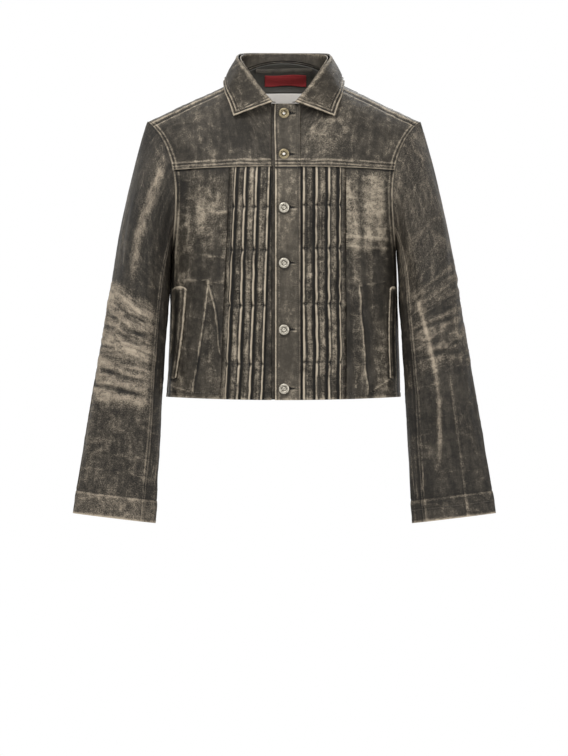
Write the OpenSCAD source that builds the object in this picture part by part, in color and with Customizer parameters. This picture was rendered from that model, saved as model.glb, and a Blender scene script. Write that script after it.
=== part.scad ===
// Cropped leather jacket with a pleated front, set-in sleeves and a turned-down collar.
// The origin is the centre of the neck seat, +Z is up and the front faces -Y.
// +X is the wearer's left side.

/* [Body] */
// Half of the width across the shoulder tips
shoulder_half_w = 219; // [210:1:230]
// Half of the width at the underarm
underarm_half_w = 180; // [170:1:190]
// Half of the width at the hem
hem_half_w = 188; // [182:1:196]
// Drop from the neck seat to the shoulder tip
tip_drop = 58; // [50:1:66]
// Drop from the neck seat to the underarm
underarm_drop = 263; // [245:1:285]
// Drop from the neck seat to the hem at the centre front
hem_drop = 504; // [500:1:600]
// Depth of the front at the neck
front_neck_depth = 74; // [68:1:80]
// Growth of the front's depth from the neck to the chest
front_swell = 40; // [30:1:50]
// Depth of the back at the neck
back_neck_depth = 62; // [58:1:68]
// Growth of the back's depth from the neck to the blades
back_swell = 50; // [40:1:60]
// Drop of the yoke seam at the centre front
yoke_drop = 132; // [126:1:150]

/* [Neck and collar] */
// Half of the width of the neck opening
neck_half_w = 78; // [74:1:82]
// Drop of the front neckline at the centre
front_neck_drop = 31; // [28:1:34]
// Rise of the back neckline at the centre
back_neck_rise = 43; // [40:1:46]
// Thickness of one ply of the collar leaf
collar_ply = 1.2; // [0.8:0.1:1.4]

/* [Sleeves] */
// Vertical drop of the sleeve's outer edge
sleeve_drop = 627; // [540:1:700]
// Share of the sleeve's drop where the elbow crease lies
elbow_share = 0.58; // [0.5:0.01:0.65]
// Half of the cuff's depth from front to back
cuff_half_d = 22; // [18:1:30]
// How far the cuff hangs forward of the shoulder
sleeve_lean = 45; // [30:1:55]

/* [Layers] */
// Thickness of the leather
leather_t = 1.8; // [1.4:0.1:2]
// Thickness of the lining and of the facings
lining_t = 0.8; // [0.6:0.1:1.2]
// Depth of the lining below the leather's outer face
lining_off = 4; // [3.8:0.1:5]
// Gap between pieces that meet at a seam
seam_gap = 0.4; // [0.3:0.05:0.6]
// Height of a pleat's fold over the leather
pleat_h = 1.6; // [1:0.1:2]

/* [Buttons] */
// Diameter of a button cap
button_d = 17; // [14:0.5:20]
// Diameter of the tack's post
post_d = 3; // [2.5:0.1:3.4]
// Radial clearance between the post and the cap's bore
post_clear = 0.05; // [0.03:0.01:0.1]
// Diameter of the tack's flat back
tack_d = 10; // [8:0.5:12]

/* [Hidden] */
$fn = 48;

leather = [0.20, 0.19, 0.18];
dark_leather = [0.13, 0.125, 0.12];
worn_edge = [0.60, 0.56, 0.50];
satin = [0.20, 0.20, 0.18];
cotton = [0.84, 0.83, 0.80];
label_red = [0.72, 0.08, 0.10];
aged_metal = [0.55, 0.52, 0.46];

tip_z = -tip_drop;
underarm_z = -underarm_drop;
hem_z = -hem_drop;
hem_rise = 5;                      // the side of the hem over its centre
yoke_side_fall = 5;                // the yoke seam at the armhole below its centre
shoulder_r = 75;                   // height over which the shoulder rounds into the front
neck_base_z = 9;                   // the shoulder line at the neck
neck_crown = 61;                   // rise of the shoulder surface's crown inside the neck
box_power = 2.5;                   // squareness of the body's section
front_side = -1;
back_side = 1;
front_inset = 27;                  // the armhole's front edge inside the straight line
back_inset = 16;
facing_low_z = -8;                 // the neck facing's lower edge
hem_band_h = 25;

// Front closing: x of the placket's edges and of the band under it
placket_x0 = -14;
placket_x1 = 26;
band_x0 = -20;
band_x1 = 22;
placket_lift = 1.2;                // the placket's outer face over the panels
ply_gap = 0.3;
button_drops = [47, 113, 198, 286, 392, 486];
buttonhole_l = 12;

// Pleats: x of each fold at the yoke seam and at the hem, then the outer border
left_folds = [[30, 30], [50, 50], [70, 70], [88, 88]];
left_border = [99, 99];
right_folds = [[22, 35], [41, 54], [59, 73], [75, 92]];
right_border = [87, 102];
fold_w = 0.6;

function clamp01(t) = min(1, max(0, t));
function ease(t) = let (c = clamp01(t)) c * c * (3 - 2 * c);
function lerp(a, b, t) = a + (b - a) * t;
function steps(n, a = 0, b = 1) = [for (i = [0:n]) lerp(a, b, i / n)];

// ---- The body's surface ----
function arm_share(z) = clamp01((tip_z - z) / (tip_z - underarm_z));
function half_w(z) = z >= underarm_z
    ? lerp(shoulder_half_w + 3, underarm_half_w, arm_share(z))
    : lerp(underarm_half_w, hem_half_w, (underarm_z - z) / (underarm_z - hem_z));
function armhole_x(z, side) = z <= underarm_z ? half_w(z)
    : lerp(shoulder_half_w, underarm_half_w, arm_share(z))
        - (side < 0 ? front_inset : back_inset) * sin(180 * pow(arm_share(z), 0.7));
function shoulder_z(x) = lerp(neck_base_z, tip_z, (abs(x) - neck_half_w) / (shoulder_half_w - neck_half_w));
function crown_z(x, side) = abs(x) >= neck_half_w ? shoulder_z(x)
    : neck_base_z + neck_crown * pow(1 - pow(x / neck_half_w, 2), side < 0 ? 1 : 0.62);
function depth(z, side) = side < 0
    ? front_neck_depth + front_swell * ease(-z / 190) - 10 * ease((-z - 220) / 280)
    : back_neck_depth + back_swell * ease(-z / 150) - 8 * ease((-z - 200) / 150);

// A point of the body at x and z, off millimetres inside the outer face
function skin(x, z, off, side) =
    let (w = half_w(z),
        fall = clamp01((crown_z(x, side) - z) / shoulder_r),
        round_over = sqrt(1 - pow(1 - fall, 2)),
        section = pow(1 - pow(min(1, abs(x) / w), box_power), 1 / box_power))
    [x * (w - off) / w,
        side * (ply_gap / 2 + (depth(z, side) - off) * section * round_over),
        z - off * (1 - fall)];

function front_neck_z(x) = abs(x) >= neck_half_w ? shoulder_z(x)
    : lerp(-front_neck_drop, neck_base_z, pow(abs(x) / neck_half_w, 2.2));
function back_neck_z(x) = abs(x) >= neck_half_w ? shoulder_z(x)
    : lerp(neck_base_z, back_neck_rise, pow(1 - pow(x / neck_half_w, 2), 0.55));
function yoke_z(x) = -yoke_drop - yoke_side_fall * pow(x / underarm_half_w, 2);
function edge_hem_z(x) = hem_z + hem_rise * pow(x / hem_half_w, 2);

// ---- Sheets: a solid between an outer and an inner grid of points ----
module sheet(outer, inner, flip = false) {
    rows = len(outer) - 1;
    cols = len(outer[0]) - 1;
    count = (rows + 1) * (cols + 1);
    function id(r, c, k) = k * count + r * (cols + 1) + c;
    quads = concat(
        [for (r = [0:rows - 1], c = [0:cols - 1])
            [id(r, c, 0), id(r, c + 1, 0), id(r + 1, c + 1, 0), id(r + 1, c, 0)]],
        [for (r = [0:rows - 1], c = [0:cols - 1])
            [id(r, c, 1), id(r + 1, c, 1), id(r + 1, c + 1, 1), id(r, c + 1, 1)]],
        [for (c = [0:cols - 1]) [id(0, c, 0), id(0, c, 1), id(0, c + 1, 1), id(0, c + 1, 0)]],
        [for (c = [0:cols - 1])
            [id(rows, c, 0), id(rows, c + 1, 0), id(rows, c + 1, 1), id(rows, c, 1)]],
        [for (r = [0:rows - 1]) [id(r, 0, 0), id(r + 1, 0, 0), id(r + 1, 0, 1), id(r, 0, 1)]],
        [for (r = [0:rows - 1])
            [id(r + 1, cols, 0), id(r, cols, 0), id(r, cols, 1), id(r + 1, cols, 1)]]);
    tris = [for (q = quads) each [[q[0], q[1], q[2]], [q[0], q[2], q[3]]]];
    polyhedron(
        points = concat([for (r = outer) each r], [for (r = inner) each r]),
        faces = flip ? [for (t = tris) [t[0], t[2], t[1]]] : tris,
        convexity = 8);
}

// A panel of the body between four edges, off millimetres inside the outer face
function panel_grid(top, bottom, left, right, us, vs, off, side) =
    [for (v = vs) [for (u = us)
        let (x = lerp(left(v), right(v), u),
            z = lerp(top(lerp(left(0), right(0), u)), bottom(lerp(left(1), right(1), u)), v))
        skin(x, z, off, side)]];

module panel(top, bottom, left, right, us, vs, off, t, side) {
    sheet(panel_grid(top, bottom, left, right, us, vs, off, side),
        panel_grid(top, bottom, left, right, us, vs, off + t, side),
        flip = side > 0);
}

crowd_top = [for (s = steps(8)) pow(s, 1.8)];
crowd_side = [for (s = steps(9)) 1 - pow(1 - s, 1.7)];
crowd_both = [for (s = steps(20)) (1 - cos(180 * s)) / 2];
// Columns shared by the yokes and what lies under them, as x on the wearer's left
yoke_xs = concat([for (s = [0, 0.12, 0.24, 0.36, 0.48, 0.6, 0.7, 0.8, 0.88, 0.94, 0.98]) s * neck_half_w],
    [for (s = [0, 0.05, 0.13, 0.27, 0.43, 0.6, 0.75, 0.87, 0.95, 1])
        lerp(neck_half_w, shoulder_half_w, s)]);
function half_us(inner_x) = concat([0], [for (x = yoke_xs) if (x > inner_x + 4)
    (x - inner_x) / (shoulder_half_w - inner_x)]);
function full_us(end_x) = concat(
    [for (i = [len(yoke_xs) - 1:-1:1]) if (yoke_xs[i] <= end_x) 0.5 - yoke_xs[i] / end_x / 2],
    [for (x = yoke_xs) if (x <= end_x) 0.5 + x / end_x / 2]);

// ---- Front ----
module front_yoke(inner_x) {
    end_z = yoke_z(underarm_half_w);
    color(leather) panel(
        function(x) front_neck_z(x), function(x) yoke_z(x) + seam_gap / 2,
        function(v) inner_x, function(v) armhole_x(lerp(tip_z, end_z, v), front_side),
        half_us(inner_x), crowd_top, 0, leather_t, front_side);
}

module pleat_panel(inner_x, folds, border) {
    cols = concat([[inner_x, inner_x, 0]],
        [for (i = [0:len(folds) - 1])
            let (next = i < len(folds) - 1 ? folds[i + 1] : border)
            each [[folds[i][0] - fold_w, folds[i][1] - fold_w, 0],
                [folds[i][0], folds[i][1], -pleat_h],
                [lerp(folds[i][0], next[0], 0.5), lerp(folds[i][1], next[1], 0.5), -pleat_h / 2]]],
        [[border[0] - seam_gap / 2, border[1] - seam_gap / 2, 0]]);
    function grid(in) = [for (v = steps(10)) [for (c = cols)
        skin(lerp(c[0], c[1], v),
            lerp(yoke_z(c[0]) - seam_gap / 2, edge_hem_z(c[1]), v),
            in > 0 ? in : c[2], front_side)]];
    color(leather) sheet(grid(0), grid(leather_t));
}

module front_panel(border) {
    top_z = yoke_z(underarm_half_w);
    side_z = edge_hem_z(hem_half_w);
    corner = (top_z - underarm_z) / (top_z - side_z);
    color(leather) panel(
        function(x) yoke_z(x) - seam_gap / 2, function(x) edge_hem_z(x),
        function(v) lerp(border[0], border[1], v) + seam_gap / 2,
        function(v) armhole_x(lerp(top_z, side_z, v), front_side),
        crowd_side, concat(steps(5, 0, corner), steps(6, corner + 0.1, 1)), 0, leather_t, front_side);
}

// A strip along the centre front, cut from the body's profile at x = 0
module front_strip(x0, x1, off, t, low_z) {
    zs = steps(24, -front_neck_drop, low_z);
    translate([x0, 0, 0]) rotate([90, 0, 90]) linear_extrude(x1 - x0) polygon(concat(
        [for (z = zs) let (p = skin(x1, z, off, front_side)) [p[1], p[2]]],
        [for (i = [len(zs) - 1:-1:0]) let (p = skin(x1, zs[i], off + t, front_side)) [p[1], p[2]]]));
}

// The frame of a button: its place on the placket's outer face and its tilt
function button_z(i) = -button_drops[i];
function button_y(i) = skin(placket_x1, button_z(i), -placket_lift, front_side)[1];
function button_tilt(i) = atan(
    (depth(button_z(i) - 1, front_side) - depth(button_z(i) + 1, front_side)) / 2);
module at_button(i) {
    translate([0, button_y(i), button_z(i)]) rotate([90 - button_tilt(i), 0, 0]) children();
}

band_off = leather_t - placket_lift + ply_gap;
band_t = 1.3;
facing_off = band_off + band_t + ply_gap;
post_base = -(facing_off + lining_t + placket_lift + ply_gap);
cap_low = 0.4;
cap_h = 4;
post_top = 2.9;
tack_t = 1.2;

module left_placket() {
    color(worn_edge) difference() {
        front_strip(placket_x0, placket_x1, -placket_lift, leather_t, hem_z);
        for (i = [0:len(button_drops) - 1]) at_button(i) {
            cylinder(d = post_d + 1, h = 10, center = true);
            translate([buttonhole_l, 0, 0]) cylinder(d = post_d + 1, h = 10, center = true);
            translate([buttonhole_l / 2, 0, 0]) cube([buttonhole_l, post_d + 1, 10], center = true);
        }
    }
}

module post_holes() {
    for (i = [0:len(button_drops) - 1]) at_button(i) translate([0, 0, -8])
        cylinder(d = post_d + 0.6, h = 12);
}

module right_button_band() {
    color(dark_leather) difference() {
        front_strip(band_x0, band_x1, band_off, band_t, hem_z + 1);
        post_holes();
    }
}

module right_front_facing() {
    color(satin) difference() {
        front_strip(band_x0, band_x1, facing_off, lining_t, hem_z + 2);
        post_holes();
    }
}

// ---- Buttons ----
post_r = post_d / 2;
head_r = post_r + 0.7;
bore_r = post_r + post_clear;
module button_tacks() {
    color(aged_metal) for (i = [0:len(button_drops) - 1]) at_button(i) rotate_extrude() polygon([
        [0, post_base - tack_t], [tack_d / 2, post_base - tack_t], [tack_d / 2, post_base],
        [post_r, post_base], [post_r, post_top - 0.7], [head_r, post_top - 0.5],
        [head_r, post_top], [0, post_top]]);
}

module button_cap(i) {
    cap_r = button_d / 2;
    color(aged_metal) at_button(i) rotate_extrude() polygon([
        [bore_r, cap_low], [cap_r - 1.5, cap_low + 0.6], [cap_r, cap_low + 1.6],
        [cap_r, cap_low + 2.4], [cap_r - 0.8, cap_low + 3.1], [cap_r - 2, cap_low + 3.1],
        [cap_r - 2.6, cap_low + 2.6], [cap_r / 2, cap_low + 2.9], [1.4, cap_low + cap_h - 0.3],
        [0, cap_low + cap_h], [0, post_top + 0.2], [head_r + 0.15, post_top + 0.2],
        [head_r + 0.15, post_top - 0.75], [bore_r, post_top - 0.95]]);
}

// ---- Back ----
back_yoke_drop = 112;
back_seam_top = 74;
back_seam_low = 96;
function back_yoke_z(x) = -back_yoke_drop - 4 * pow(x / underarm_half_w, 2);
function back_seam_x(v) = lerp(back_seam_top, back_seam_low, v);
function back_rows() =
    let (top_z = back_yoke_z(underarm_half_w),
        corner = (top_z - underarm_z) / (top_z - edge_hem_z(hem_half_w)))
    concat(steps(5, 0, corner), steps(6, corner + 0.1, 1));

module back_yoke() {
    end_z = back_yoke_z(underarm_half_w);
    color(leather) panel(
        function(x) back_neck_z(x), function(x) back_yoke_z(x) + seam_gap / 2,
        function(v) -armhole_x(lerp(tip_z, end_z, v), back_side),
        function(v) armhole_x(lerp(tip_z, end_z, v), back_side),
        full_us(shoulder_half_w), crowd_top, 0, leather_t, back_side);
}

module back_centre_panel() {
    color(leather) panel(
        function(x) back_yoke_z(x) - seam_gap / 2, function(x) edge_hem_z(x),
        function(v) -back_seam_x(v) + seam_gap / 2, function(v) back_seam_x(v) - seam_gap / 2,
        steps(10), back_rows(), 0, leather_t, back_side);
}

module back_panel() {
    top_z = back_yoke_z(underarm_half_w);
    side_z = edge_hem_z(hem_half_w);
    color(leather) panel(
        function(x) back_yoke_z(x) - seam_gap / 2, function(x) edge_hem_z(x),
        function(v) back_seam_x(v) + seam_gap / 2,
        function(v) armhole_x(lerp(top_z, side_z, v), back_side),
        crowd_side, back_rows(), 0, leather_t, back_side);
}

// ---- Linings, facings and pockets ----
module front_lining(inner_x) {
    low_z = edge_hem_z(hem_half_w) + hem_band_h + ply_gap;
    corner = (tip_z - underarm_z) / (tip_z - low_z);
    color(cotton) panel(
        function(x) front_neck_z(x) - ply_gap, function(x) low_z,
        function(v) inner_x,
        function(v) armhole_x(lerp(tip_z, low_z, v), front_side),
        half_us(inner_x), concat([for (s = steps(8)) corner * pow(s, 1.7)], steps(5, corner + 0.1, 1)),
        lining_off, lining_t, front_side);
}

module back_lining() {
    low_z = edge_hem_z(hem_half_w) + hem_band_h + ply_gap;
    corner = (tip_z - underarm_z) / (tip_z - low_z);
    color(cotton) panel(
        function(x) min(facing_low_z, shoulder_z(x)) - seam_gap, function(x) low_z,
        function(v) -armhole_x(lerp(tip_z, low_z, v), back_side),
        function(v) armhole_x(lerp(tip_z, low_z, v), back_side),
        full_us(shoulder_half_w), concat([for (s = steps(7)) corner * pow(s, 1.4)], steps(5, corner + 0.1, 1)),
        lining_off, lining_t, back_side);
}

module neck_facing() {
    end_x = lerp(neck_half_w, shoulder_half_w, 0.13);
    color(satin) panel(
        function(x) back_neck_z(x) - ply_gap, function(x) facing_low_z,
        function(v) -end_x, function(v) end_x,
        full_us(end_x), steps(5), lining_off, lining_t, back_side);
}

module neck_label() {
    color(label_red) panel(
        function(x) 23, function(x) 4.5, function(v) -32, function(v) 37,
        steps(8), steps(3), lining_off + lining_t + 0.7, 0.5, back_side);
}

loop_l = 91;
loop_h = 7;
loop_t = 1.4;
loop_low_z = 24;
loop_clear = 1.1;                  // from the facing to the loop's ends
loop_bow = 2;                      // slack of the loop away from the facing
module hang_loop() {
    end = skin(loop_l / 2, loop_low_z + loop_h + lining_off, lining_off + lining_t + loop_clear,
        back_side);
    function bow(u) = end[1] - loop_bow * (1 - u * u);
    color(dark_leather) translate([0, 0, loop_low_z]) linear_extrude(loop_h) polygon(concat(
        [for (u = steps(12, -1, 1)) [u * loop_l / 2, bow(u)]],
        [for (u = steps(12, 1, -1)) [u * loop_l / 2, bow(u) - loop_t]]));
}

module hem_facing() {
    function ring(z, off) = concat(
        [for (u = crowd_side) skin(lerp(placket_x1 + 1, half_w(z), u), z, off, front_side)],
        [for (u = crowd_both) skin(lerp(half_w(z), -half_w(z), u), z, off, back_side)],
        [for (i = [len(crowd_side) - 1:-1:0])
            skin(lerp(band_x0 - seam_gap, -half_w(z), crowd_side[i]), z, off, front_side)]);
    top_z = edge_hem_z(hem_half_w) + hem_band_h;
    color(dark_leather) sheet(
        [ring(top_z, lining_off), ring(hem_z + hem_rise, lining_off)],
        [ring(top_z, lining_off + lining_t), ring(hem_z + hem_rise, lining_off + lining_t)]);
}

pocket_top_z = -322;
pocket_low_z = -470;
module pocket_welt(x_top, x_low, w_top, w_low) {
    color(worn_edge) panel(
        function(x) pocket_top_z, function(x) pocket_low_z,
        function(v) lerp(x_top - w_top / 2, x_low - w_low / 2, v),
        function(v) lerp(x_top + w_top / 2, x_low + w_low / 2, v),
        steps(3), steps(8), -2.1, 1.3, front_side);
}

module pocket_bag() {
    color(cotton) panel(
        function(x) pocket_top_z + 4, function(x) pocket_low_z - 14,
        function(v) lerp(119, 147, v), function(v) lerp(168, 180, v),
        steps(9), steps(8), leather_t + 0.5, 1, front_side);
}

// ---- Collar: half curves from the centre back to the centre front ----
roll_line = [[0, 60, 56], [38, 56, 56], [64, 32, 54], [70, -4, 47], [60, -38, 30], [40, -66, 0],
    [18, -88, -30]];
leaf_edge = [[0, 75, 0], [50, 69, 0], [89, 39, 2], [97, -2, 7], [94, -54, -13], [87, -73, -32],
    [81, -85, -51]];
leaf_start = 4.4;

function spline(p, t) =
    let (n = len(p) - 1, k = min(n - 1, floor(t * n)), u = t * n - k,
        a = p[max(0, k - 1)], b = p[k], c = p[k + 1], d = p[min(n, k + 2)])
    b + 0.5 * u * ((c - a) + u * ((2 * a - 5 * b + 4 * c - d) + u * (3 * (b - c) + d - a)));
function neck_point(t) = t <= 0.5
    ? let (x = neck_half_w * sin(180 * t)) skin(x, back_neck_z(x), 0, back_side)
    : let (x = neck_half_w * cos(160 * (t - 0.5))) skin(x, front_neck_z(x), 0, front_side);
function unit(p) = p / norm(p);
function mirrored(p, s) = [p[0] * s, p[1], p[2]];
collar_ts = steps(20, -1, 1);

function stand_grid() = [for (s = steps(2)) [for (t = collar_ts)
    let (n = neck_point(abs(t)) + [0, 0, 0.8], r = spline(roll_line, abs(t)),
        share = lerp(0, 1 - 0.6 / norm(r - n), s))
    mirrored(lerp(n, r, share), t < 0 ? -1 : 1)]];
function leaf_grid() = [for (s = steps(4)) [for (t = collar_ts)
    let (r = spline(roll_line, abs(t)), edge = spline(leaf_edge, abs(t)),
        out = unit([r[0], r[1] + 5, 0]), start = r + out * leaf_start)
    mirrored(lerp(start, edge, s) + out * 3 * sin(180 * s) , t < 0 ? -1 : 1)]];

function grid_normal(g, r, c) =
    let (dr = g[min(len(g) - 1, r + 1)][c] - g[max(0, r - 1)][c],
        dc = g[r][min(len(g[0]) - 1, c + 1)] - g[r][max(0, c - 1)])
    unit(cross(dc, dr));
function inset_grid(g, t) = [for (r = [0:len(g) - 1]) [for (c = [0:len(g[0]) - 1])
    g[r][c] + grid_normal(g, r, c) * t]];

module collar_stand() {
    g = stand_grid();
    color(dark_leather) sheet(g, inset_grid(g, collar_ply));
}

module collar_ply_sheet(depth_in) {
    g = leaf_grid();
    sheet(inset_grid(g, -depth_in), inset_grid(g, -depth_in - collar_ply), flip = true);
}
module upper_collar() { color(leather) collar_ply_sheet(0); }
module under_collar() { color(dark_leather) collar_ply_sheet(collar_ply + ply_gap); }

// ---- Sleeves ----
sleeve_blend = 0.3;
seam_front = 140;
seam_back = 235;
elbow_gap = 0.0004;
cuff_share = 0.955;

function outer_edge(v) = let (z = tip_z - sleeve_drop * v)
    [shoulder_half_w + 14.8 + 0.1667 * (tip_z - z) - 15 * exp((z - tip_z) / 35), z];
function inner_edge(v) =
    let (z = tip_z - sleeve_drop * v - 16
        - (tip_z - underarm_z - 16) * pow(max(0, 1 - v / 0.76), 2))
    [underarm_half_w + seam_gap + 0.0594 * (underarm_z - z), z];
function girth(v) = 58 + 8 * ease(v / 0.15) - 20 * ease((v - 0.2) / 0.45)
    - (46 - cuff_half_d) * ease((v - 0.5) / 0.5);
function lean(v) = -sleeve_lean * ease(v / 0.75);

function armhole_point(a) =
    let (z = lerp(tip_z, underarm_z, (1 - cos(a)) / 2), side = sin(a) > 0 ? front_side : back_side)
    skin(armhole_x(z, side), z, 0, side) + [seam_gap, 0, -0.08];
function sleeve_ring_centre(v) =
    let (m = (outer_edge(v) + inner_edge(v)) / 2) [m[0], lean(v), m[1]];
function sleeve_point(v, a, off) =
    let (m = (outer_edge(v) + inner_edge(v)) / 2, h = (outer_edge(v) - inner_edge(v)) / 2,
        free = [m[0] + h[0] * cos(a), lean(v) - girth(v) * sin(a), m[1] + h[1] * cos(a)],
        p = lerp(armhole_point(a), free, ease(v / sleeve_blend)),
        c = sleeve_ring_centre(v))
    p + unit(c - p) * off;
function sleeve_grid(vs, angles, off) = [for (v = vs) [for (a = angles) sleeve_point(v, a, off)]];

module sleeve_piece(v0, v1, rows, a0, a1, cols, off, t) {
    vs = steps(rows, v0, v1);
    angles = steps(cols, a0, a1);
    sheet(sleeve_grid(vs, angles, off), sleeve_grid(vs, angles, off + t), flip = true);
}

seam_a = 0.3;
upper_end = elbow_share - elbow_gap;
fore_start = elbow_share + elbow_gap;
module top_sleeve() {
    color(leather) sleeve_piece(0, upper_end, 9, seam_back - 360 + seam_a, seam_front - seam_a, 15,
        0, leather_t);
}
module under_sleeve() {
    color(leather) sleeve_piece(0, upper_end, 9, seam_front + seam_a, seam_back - seam_a, 6,
        0, leather_t);
}
module top_forearm() {
    color(leather) sleeve_piece(fore_start, 1, 6, seam_back - 360 + seam_a, seam_front - seam_a, 15,
        0, leather_t);
}
module under_forearm() {
    color(leather) sleeve_piece(fore_start, 1, 6, seam_front + seam_a, seam_back - seam_a, 6,
        0, leather_t);
}
module sleeve_lining() {
    color(cotton) sleeve_piece(0, upper_end, 9, seam_a - 180, 180 - seam_a, 18, lining_off, lining_t);
}
module forearm_lining() {
    color(cotton) sleeve_piece(fore_start, cuff_share - 0.001, 6, seam_a - 180, 180 - seam_a, 18,
        lining_off, lining_t);
}
module cuff_facing() {
    color(dark_leather) sleeve_piece(cuff_share, 1, 2, seam_a - 180, 180 - seam_a, 24,
        lining_off - 0.8, lining_t);
}
module right() { mirror([1, 0, 0]) children(); }

front_yoke(placket_x1 + seam_gap);  // left_front_yoke
right() front_yoke(-band_x0 + seam_gap);  // right_front_yoke
back_yoke();
pleat_panel(placket_x1 + seam_gap, left_folds, left_border);  // left_pleat_panel
right() pleat_panel(-band_x0 + seam_gap, right_folds, right_border);  // right_pleat_panel
front_panel(left_border);  // left_front_panel
right() front_panel(right_border);  // right_front_panel
back_centre_panel();
back_panel();  // left_back_panel
right() back_panel();  // right_back_panel
left_placket();
right_button_band();
right_front_facing();
collar_stand();
under_collar();
upper_collar();
neck_facing();
neck_label();
hang_loop();
hem_facing();
front_lining(placket_x1 + 1);  // left_front_lining
right() front_lining(-band_x0 + seam_gap);  // right_front_lining
back_lining();
pocket_welt(173.5, 173.5, 11, 11);  // left_pocket_welt
right() pocket_welt(166, 178, 24, 14);  // right_pocket_welt
pocket_bag();  // left_pocket_bag
right() pocket_bag();  // right_pocket_bag
top_sleeve();  // left_top_sleeve
under_sleeve();  // left_under_sleeve
top_forearm();  // left_top_forearm
under_forearm();  // left_under_forearm
right() top_sleeve();  // right_top_sleeve
right() under_sleeve();  // right_under_sleeve
right() top_forearm();  // right_top_forearm
right() under_forearm();  // right_under_forearm
sleeve_lining();  // left_sleeve_lining
forearm_lining();  // left_forearm_lining
right() sleeve_lining();  // right_sleeve_lining
right() forearm_lining();  // right_forearm_lining
cuff_facing();  // left_cuff_facing
right() cuff_facing();  // right_cuff_facing
button_tacks();
button_cap(0);  // button_cap_1
button_cap(1);  // button_cap_2
button_cap(2);  // button_cap_3
button_cap(3);  // button_cap_4
button_cap(4);  // button_cap_5
button_cap(5);  // button_cap_6
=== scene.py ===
"""A cropped leather jacket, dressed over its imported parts.

Lengths in this script are millimetres; new_piece() turns them into metres.
The jacket's formulas follow its frame: the origin is the neck seat, +Z is up,
the front faces -Y and +X is the wearer's left side.
"""
import math

import bpy
import numpy as np
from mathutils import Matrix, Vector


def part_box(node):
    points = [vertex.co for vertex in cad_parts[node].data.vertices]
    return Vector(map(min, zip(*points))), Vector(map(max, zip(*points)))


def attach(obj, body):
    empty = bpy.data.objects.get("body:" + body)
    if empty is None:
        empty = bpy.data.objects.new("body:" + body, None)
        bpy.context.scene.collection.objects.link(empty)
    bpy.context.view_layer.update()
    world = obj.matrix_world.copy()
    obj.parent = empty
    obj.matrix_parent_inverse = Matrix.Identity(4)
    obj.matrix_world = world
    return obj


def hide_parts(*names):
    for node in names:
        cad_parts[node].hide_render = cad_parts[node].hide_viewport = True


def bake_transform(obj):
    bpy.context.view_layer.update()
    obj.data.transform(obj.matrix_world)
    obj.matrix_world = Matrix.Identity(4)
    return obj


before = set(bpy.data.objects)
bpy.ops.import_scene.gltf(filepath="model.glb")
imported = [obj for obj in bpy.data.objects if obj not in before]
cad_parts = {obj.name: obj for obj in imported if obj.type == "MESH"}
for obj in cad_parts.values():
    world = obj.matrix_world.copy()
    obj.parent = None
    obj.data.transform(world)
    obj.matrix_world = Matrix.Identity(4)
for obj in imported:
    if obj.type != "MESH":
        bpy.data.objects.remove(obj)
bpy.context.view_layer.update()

MM = 0.001
FRONT, BACK = -1, 1
MIRROR = np.array([-1, 1, 1])
# The deepest dent that keeps clear of the lining, and a margin on the flat sizes
DEEPEST, FLAT_SLACK = -1.1, 1.001

# The cut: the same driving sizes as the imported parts
SHOULDER_W, UNDERARM_W, HEM_W = 219, 180, 188
TIP_Z, UNDERARM_Z, HEM_Z = -58, -263, -504
NECK_W, NECK_Z, CROWN_H = 78, 9, 61
SHOULDER_R, BOX_POWER = 75, 2.5
SEAM, PLY = 0.3, 0.15
PLACKET_X0, PLACKET_X1, BAND_X0, BAND_X1 = -14, 26, -20, 22
LEATHER_T, LINING_T, LINING_OFF, PLACKET_LIFT = 1.8, 0.8, 4.4, 1.2
BUTTON_DROPS = [47, 113, 198, 286, 392, 486]
LEFT_FOLDS, LEFT_BORDER = [(30, 30), (50, 50), (70, 70), (88, 88)], (99, 99)
RIGHT_FOLDS, RIGHT_BORDER = [(22, 35), (41, 54), (59, 73), (75, 92)], (87, 102)
TACK_ROWS = [-195, -264, -352, -445]
SLEEVE_DROP, SLEEVE_LEAN, CUFF_HALF = 627, 45, 22
SEAM_FRONT, SEAM_BACK = 140, 235
PLACKET_TOP, FACING_LOW = -31, -8
ARM_LENGTH, MM_PER_DEGREE, CUFF_ROW = 640, 1.05, 590


# ---- Curves of the cut ----
def clamp01(t):
    return np.clip(t, 0, 1)


def ease(t):
    c = clamp01(t)
    return c * c * (3 - 2 * c)


def lerp(a, b, t):
    return a + (b - a) * t


def arm_share(z):
    return clamp01((TIP_Z - z) / (TIP_Z - UNDERARM_Z))


def half_w(z):
    upper = lerp(SHOULDER_W + 3, UNDERARM_W, arm_share(z))
    lower = lerp(UNDERARM_W, HEM_W, (UNDERARM_Z - z) / (UNDERARM_Z - HEM_Z))
    return np.where(z >= UNDERARM_Z, upper, lower)


def armhole_x(z, side):
    share = arm_share(z)
    inset = 27 if side < 0 else 16
    edge = lerp(SHOULDER_W, UNDERARM_W, share) - inset * np.sin(np.pi * share ** 0.7)
    return np.where(z <= UNDERARM_Z, half_w(z), edge)


def shoulder_z(x):
    return lerp(NECK_Z, TIP_Z, (np.abs(x) - NECK_W) / (SHOULDER_W - NECK_W))


def crown_z(x, side):
    inside = clamp01(1 - (x / NECK_W) ** 2)
    return np.where(np.abs(x) >= NECK_W, shoulder_z(x),
                    NECK_Z + CROWN_H * inside ** (1 if side < 0 else 0.62))


def depth(z, side):
    if side < 0:
        return 74 + 40 * ease(-z / 190) - 10 * ease((-z - 220) / 280)
    return 62 + 50 * ease(-z / 150) - 8 * ease((-z - 200) / 150)


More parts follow.
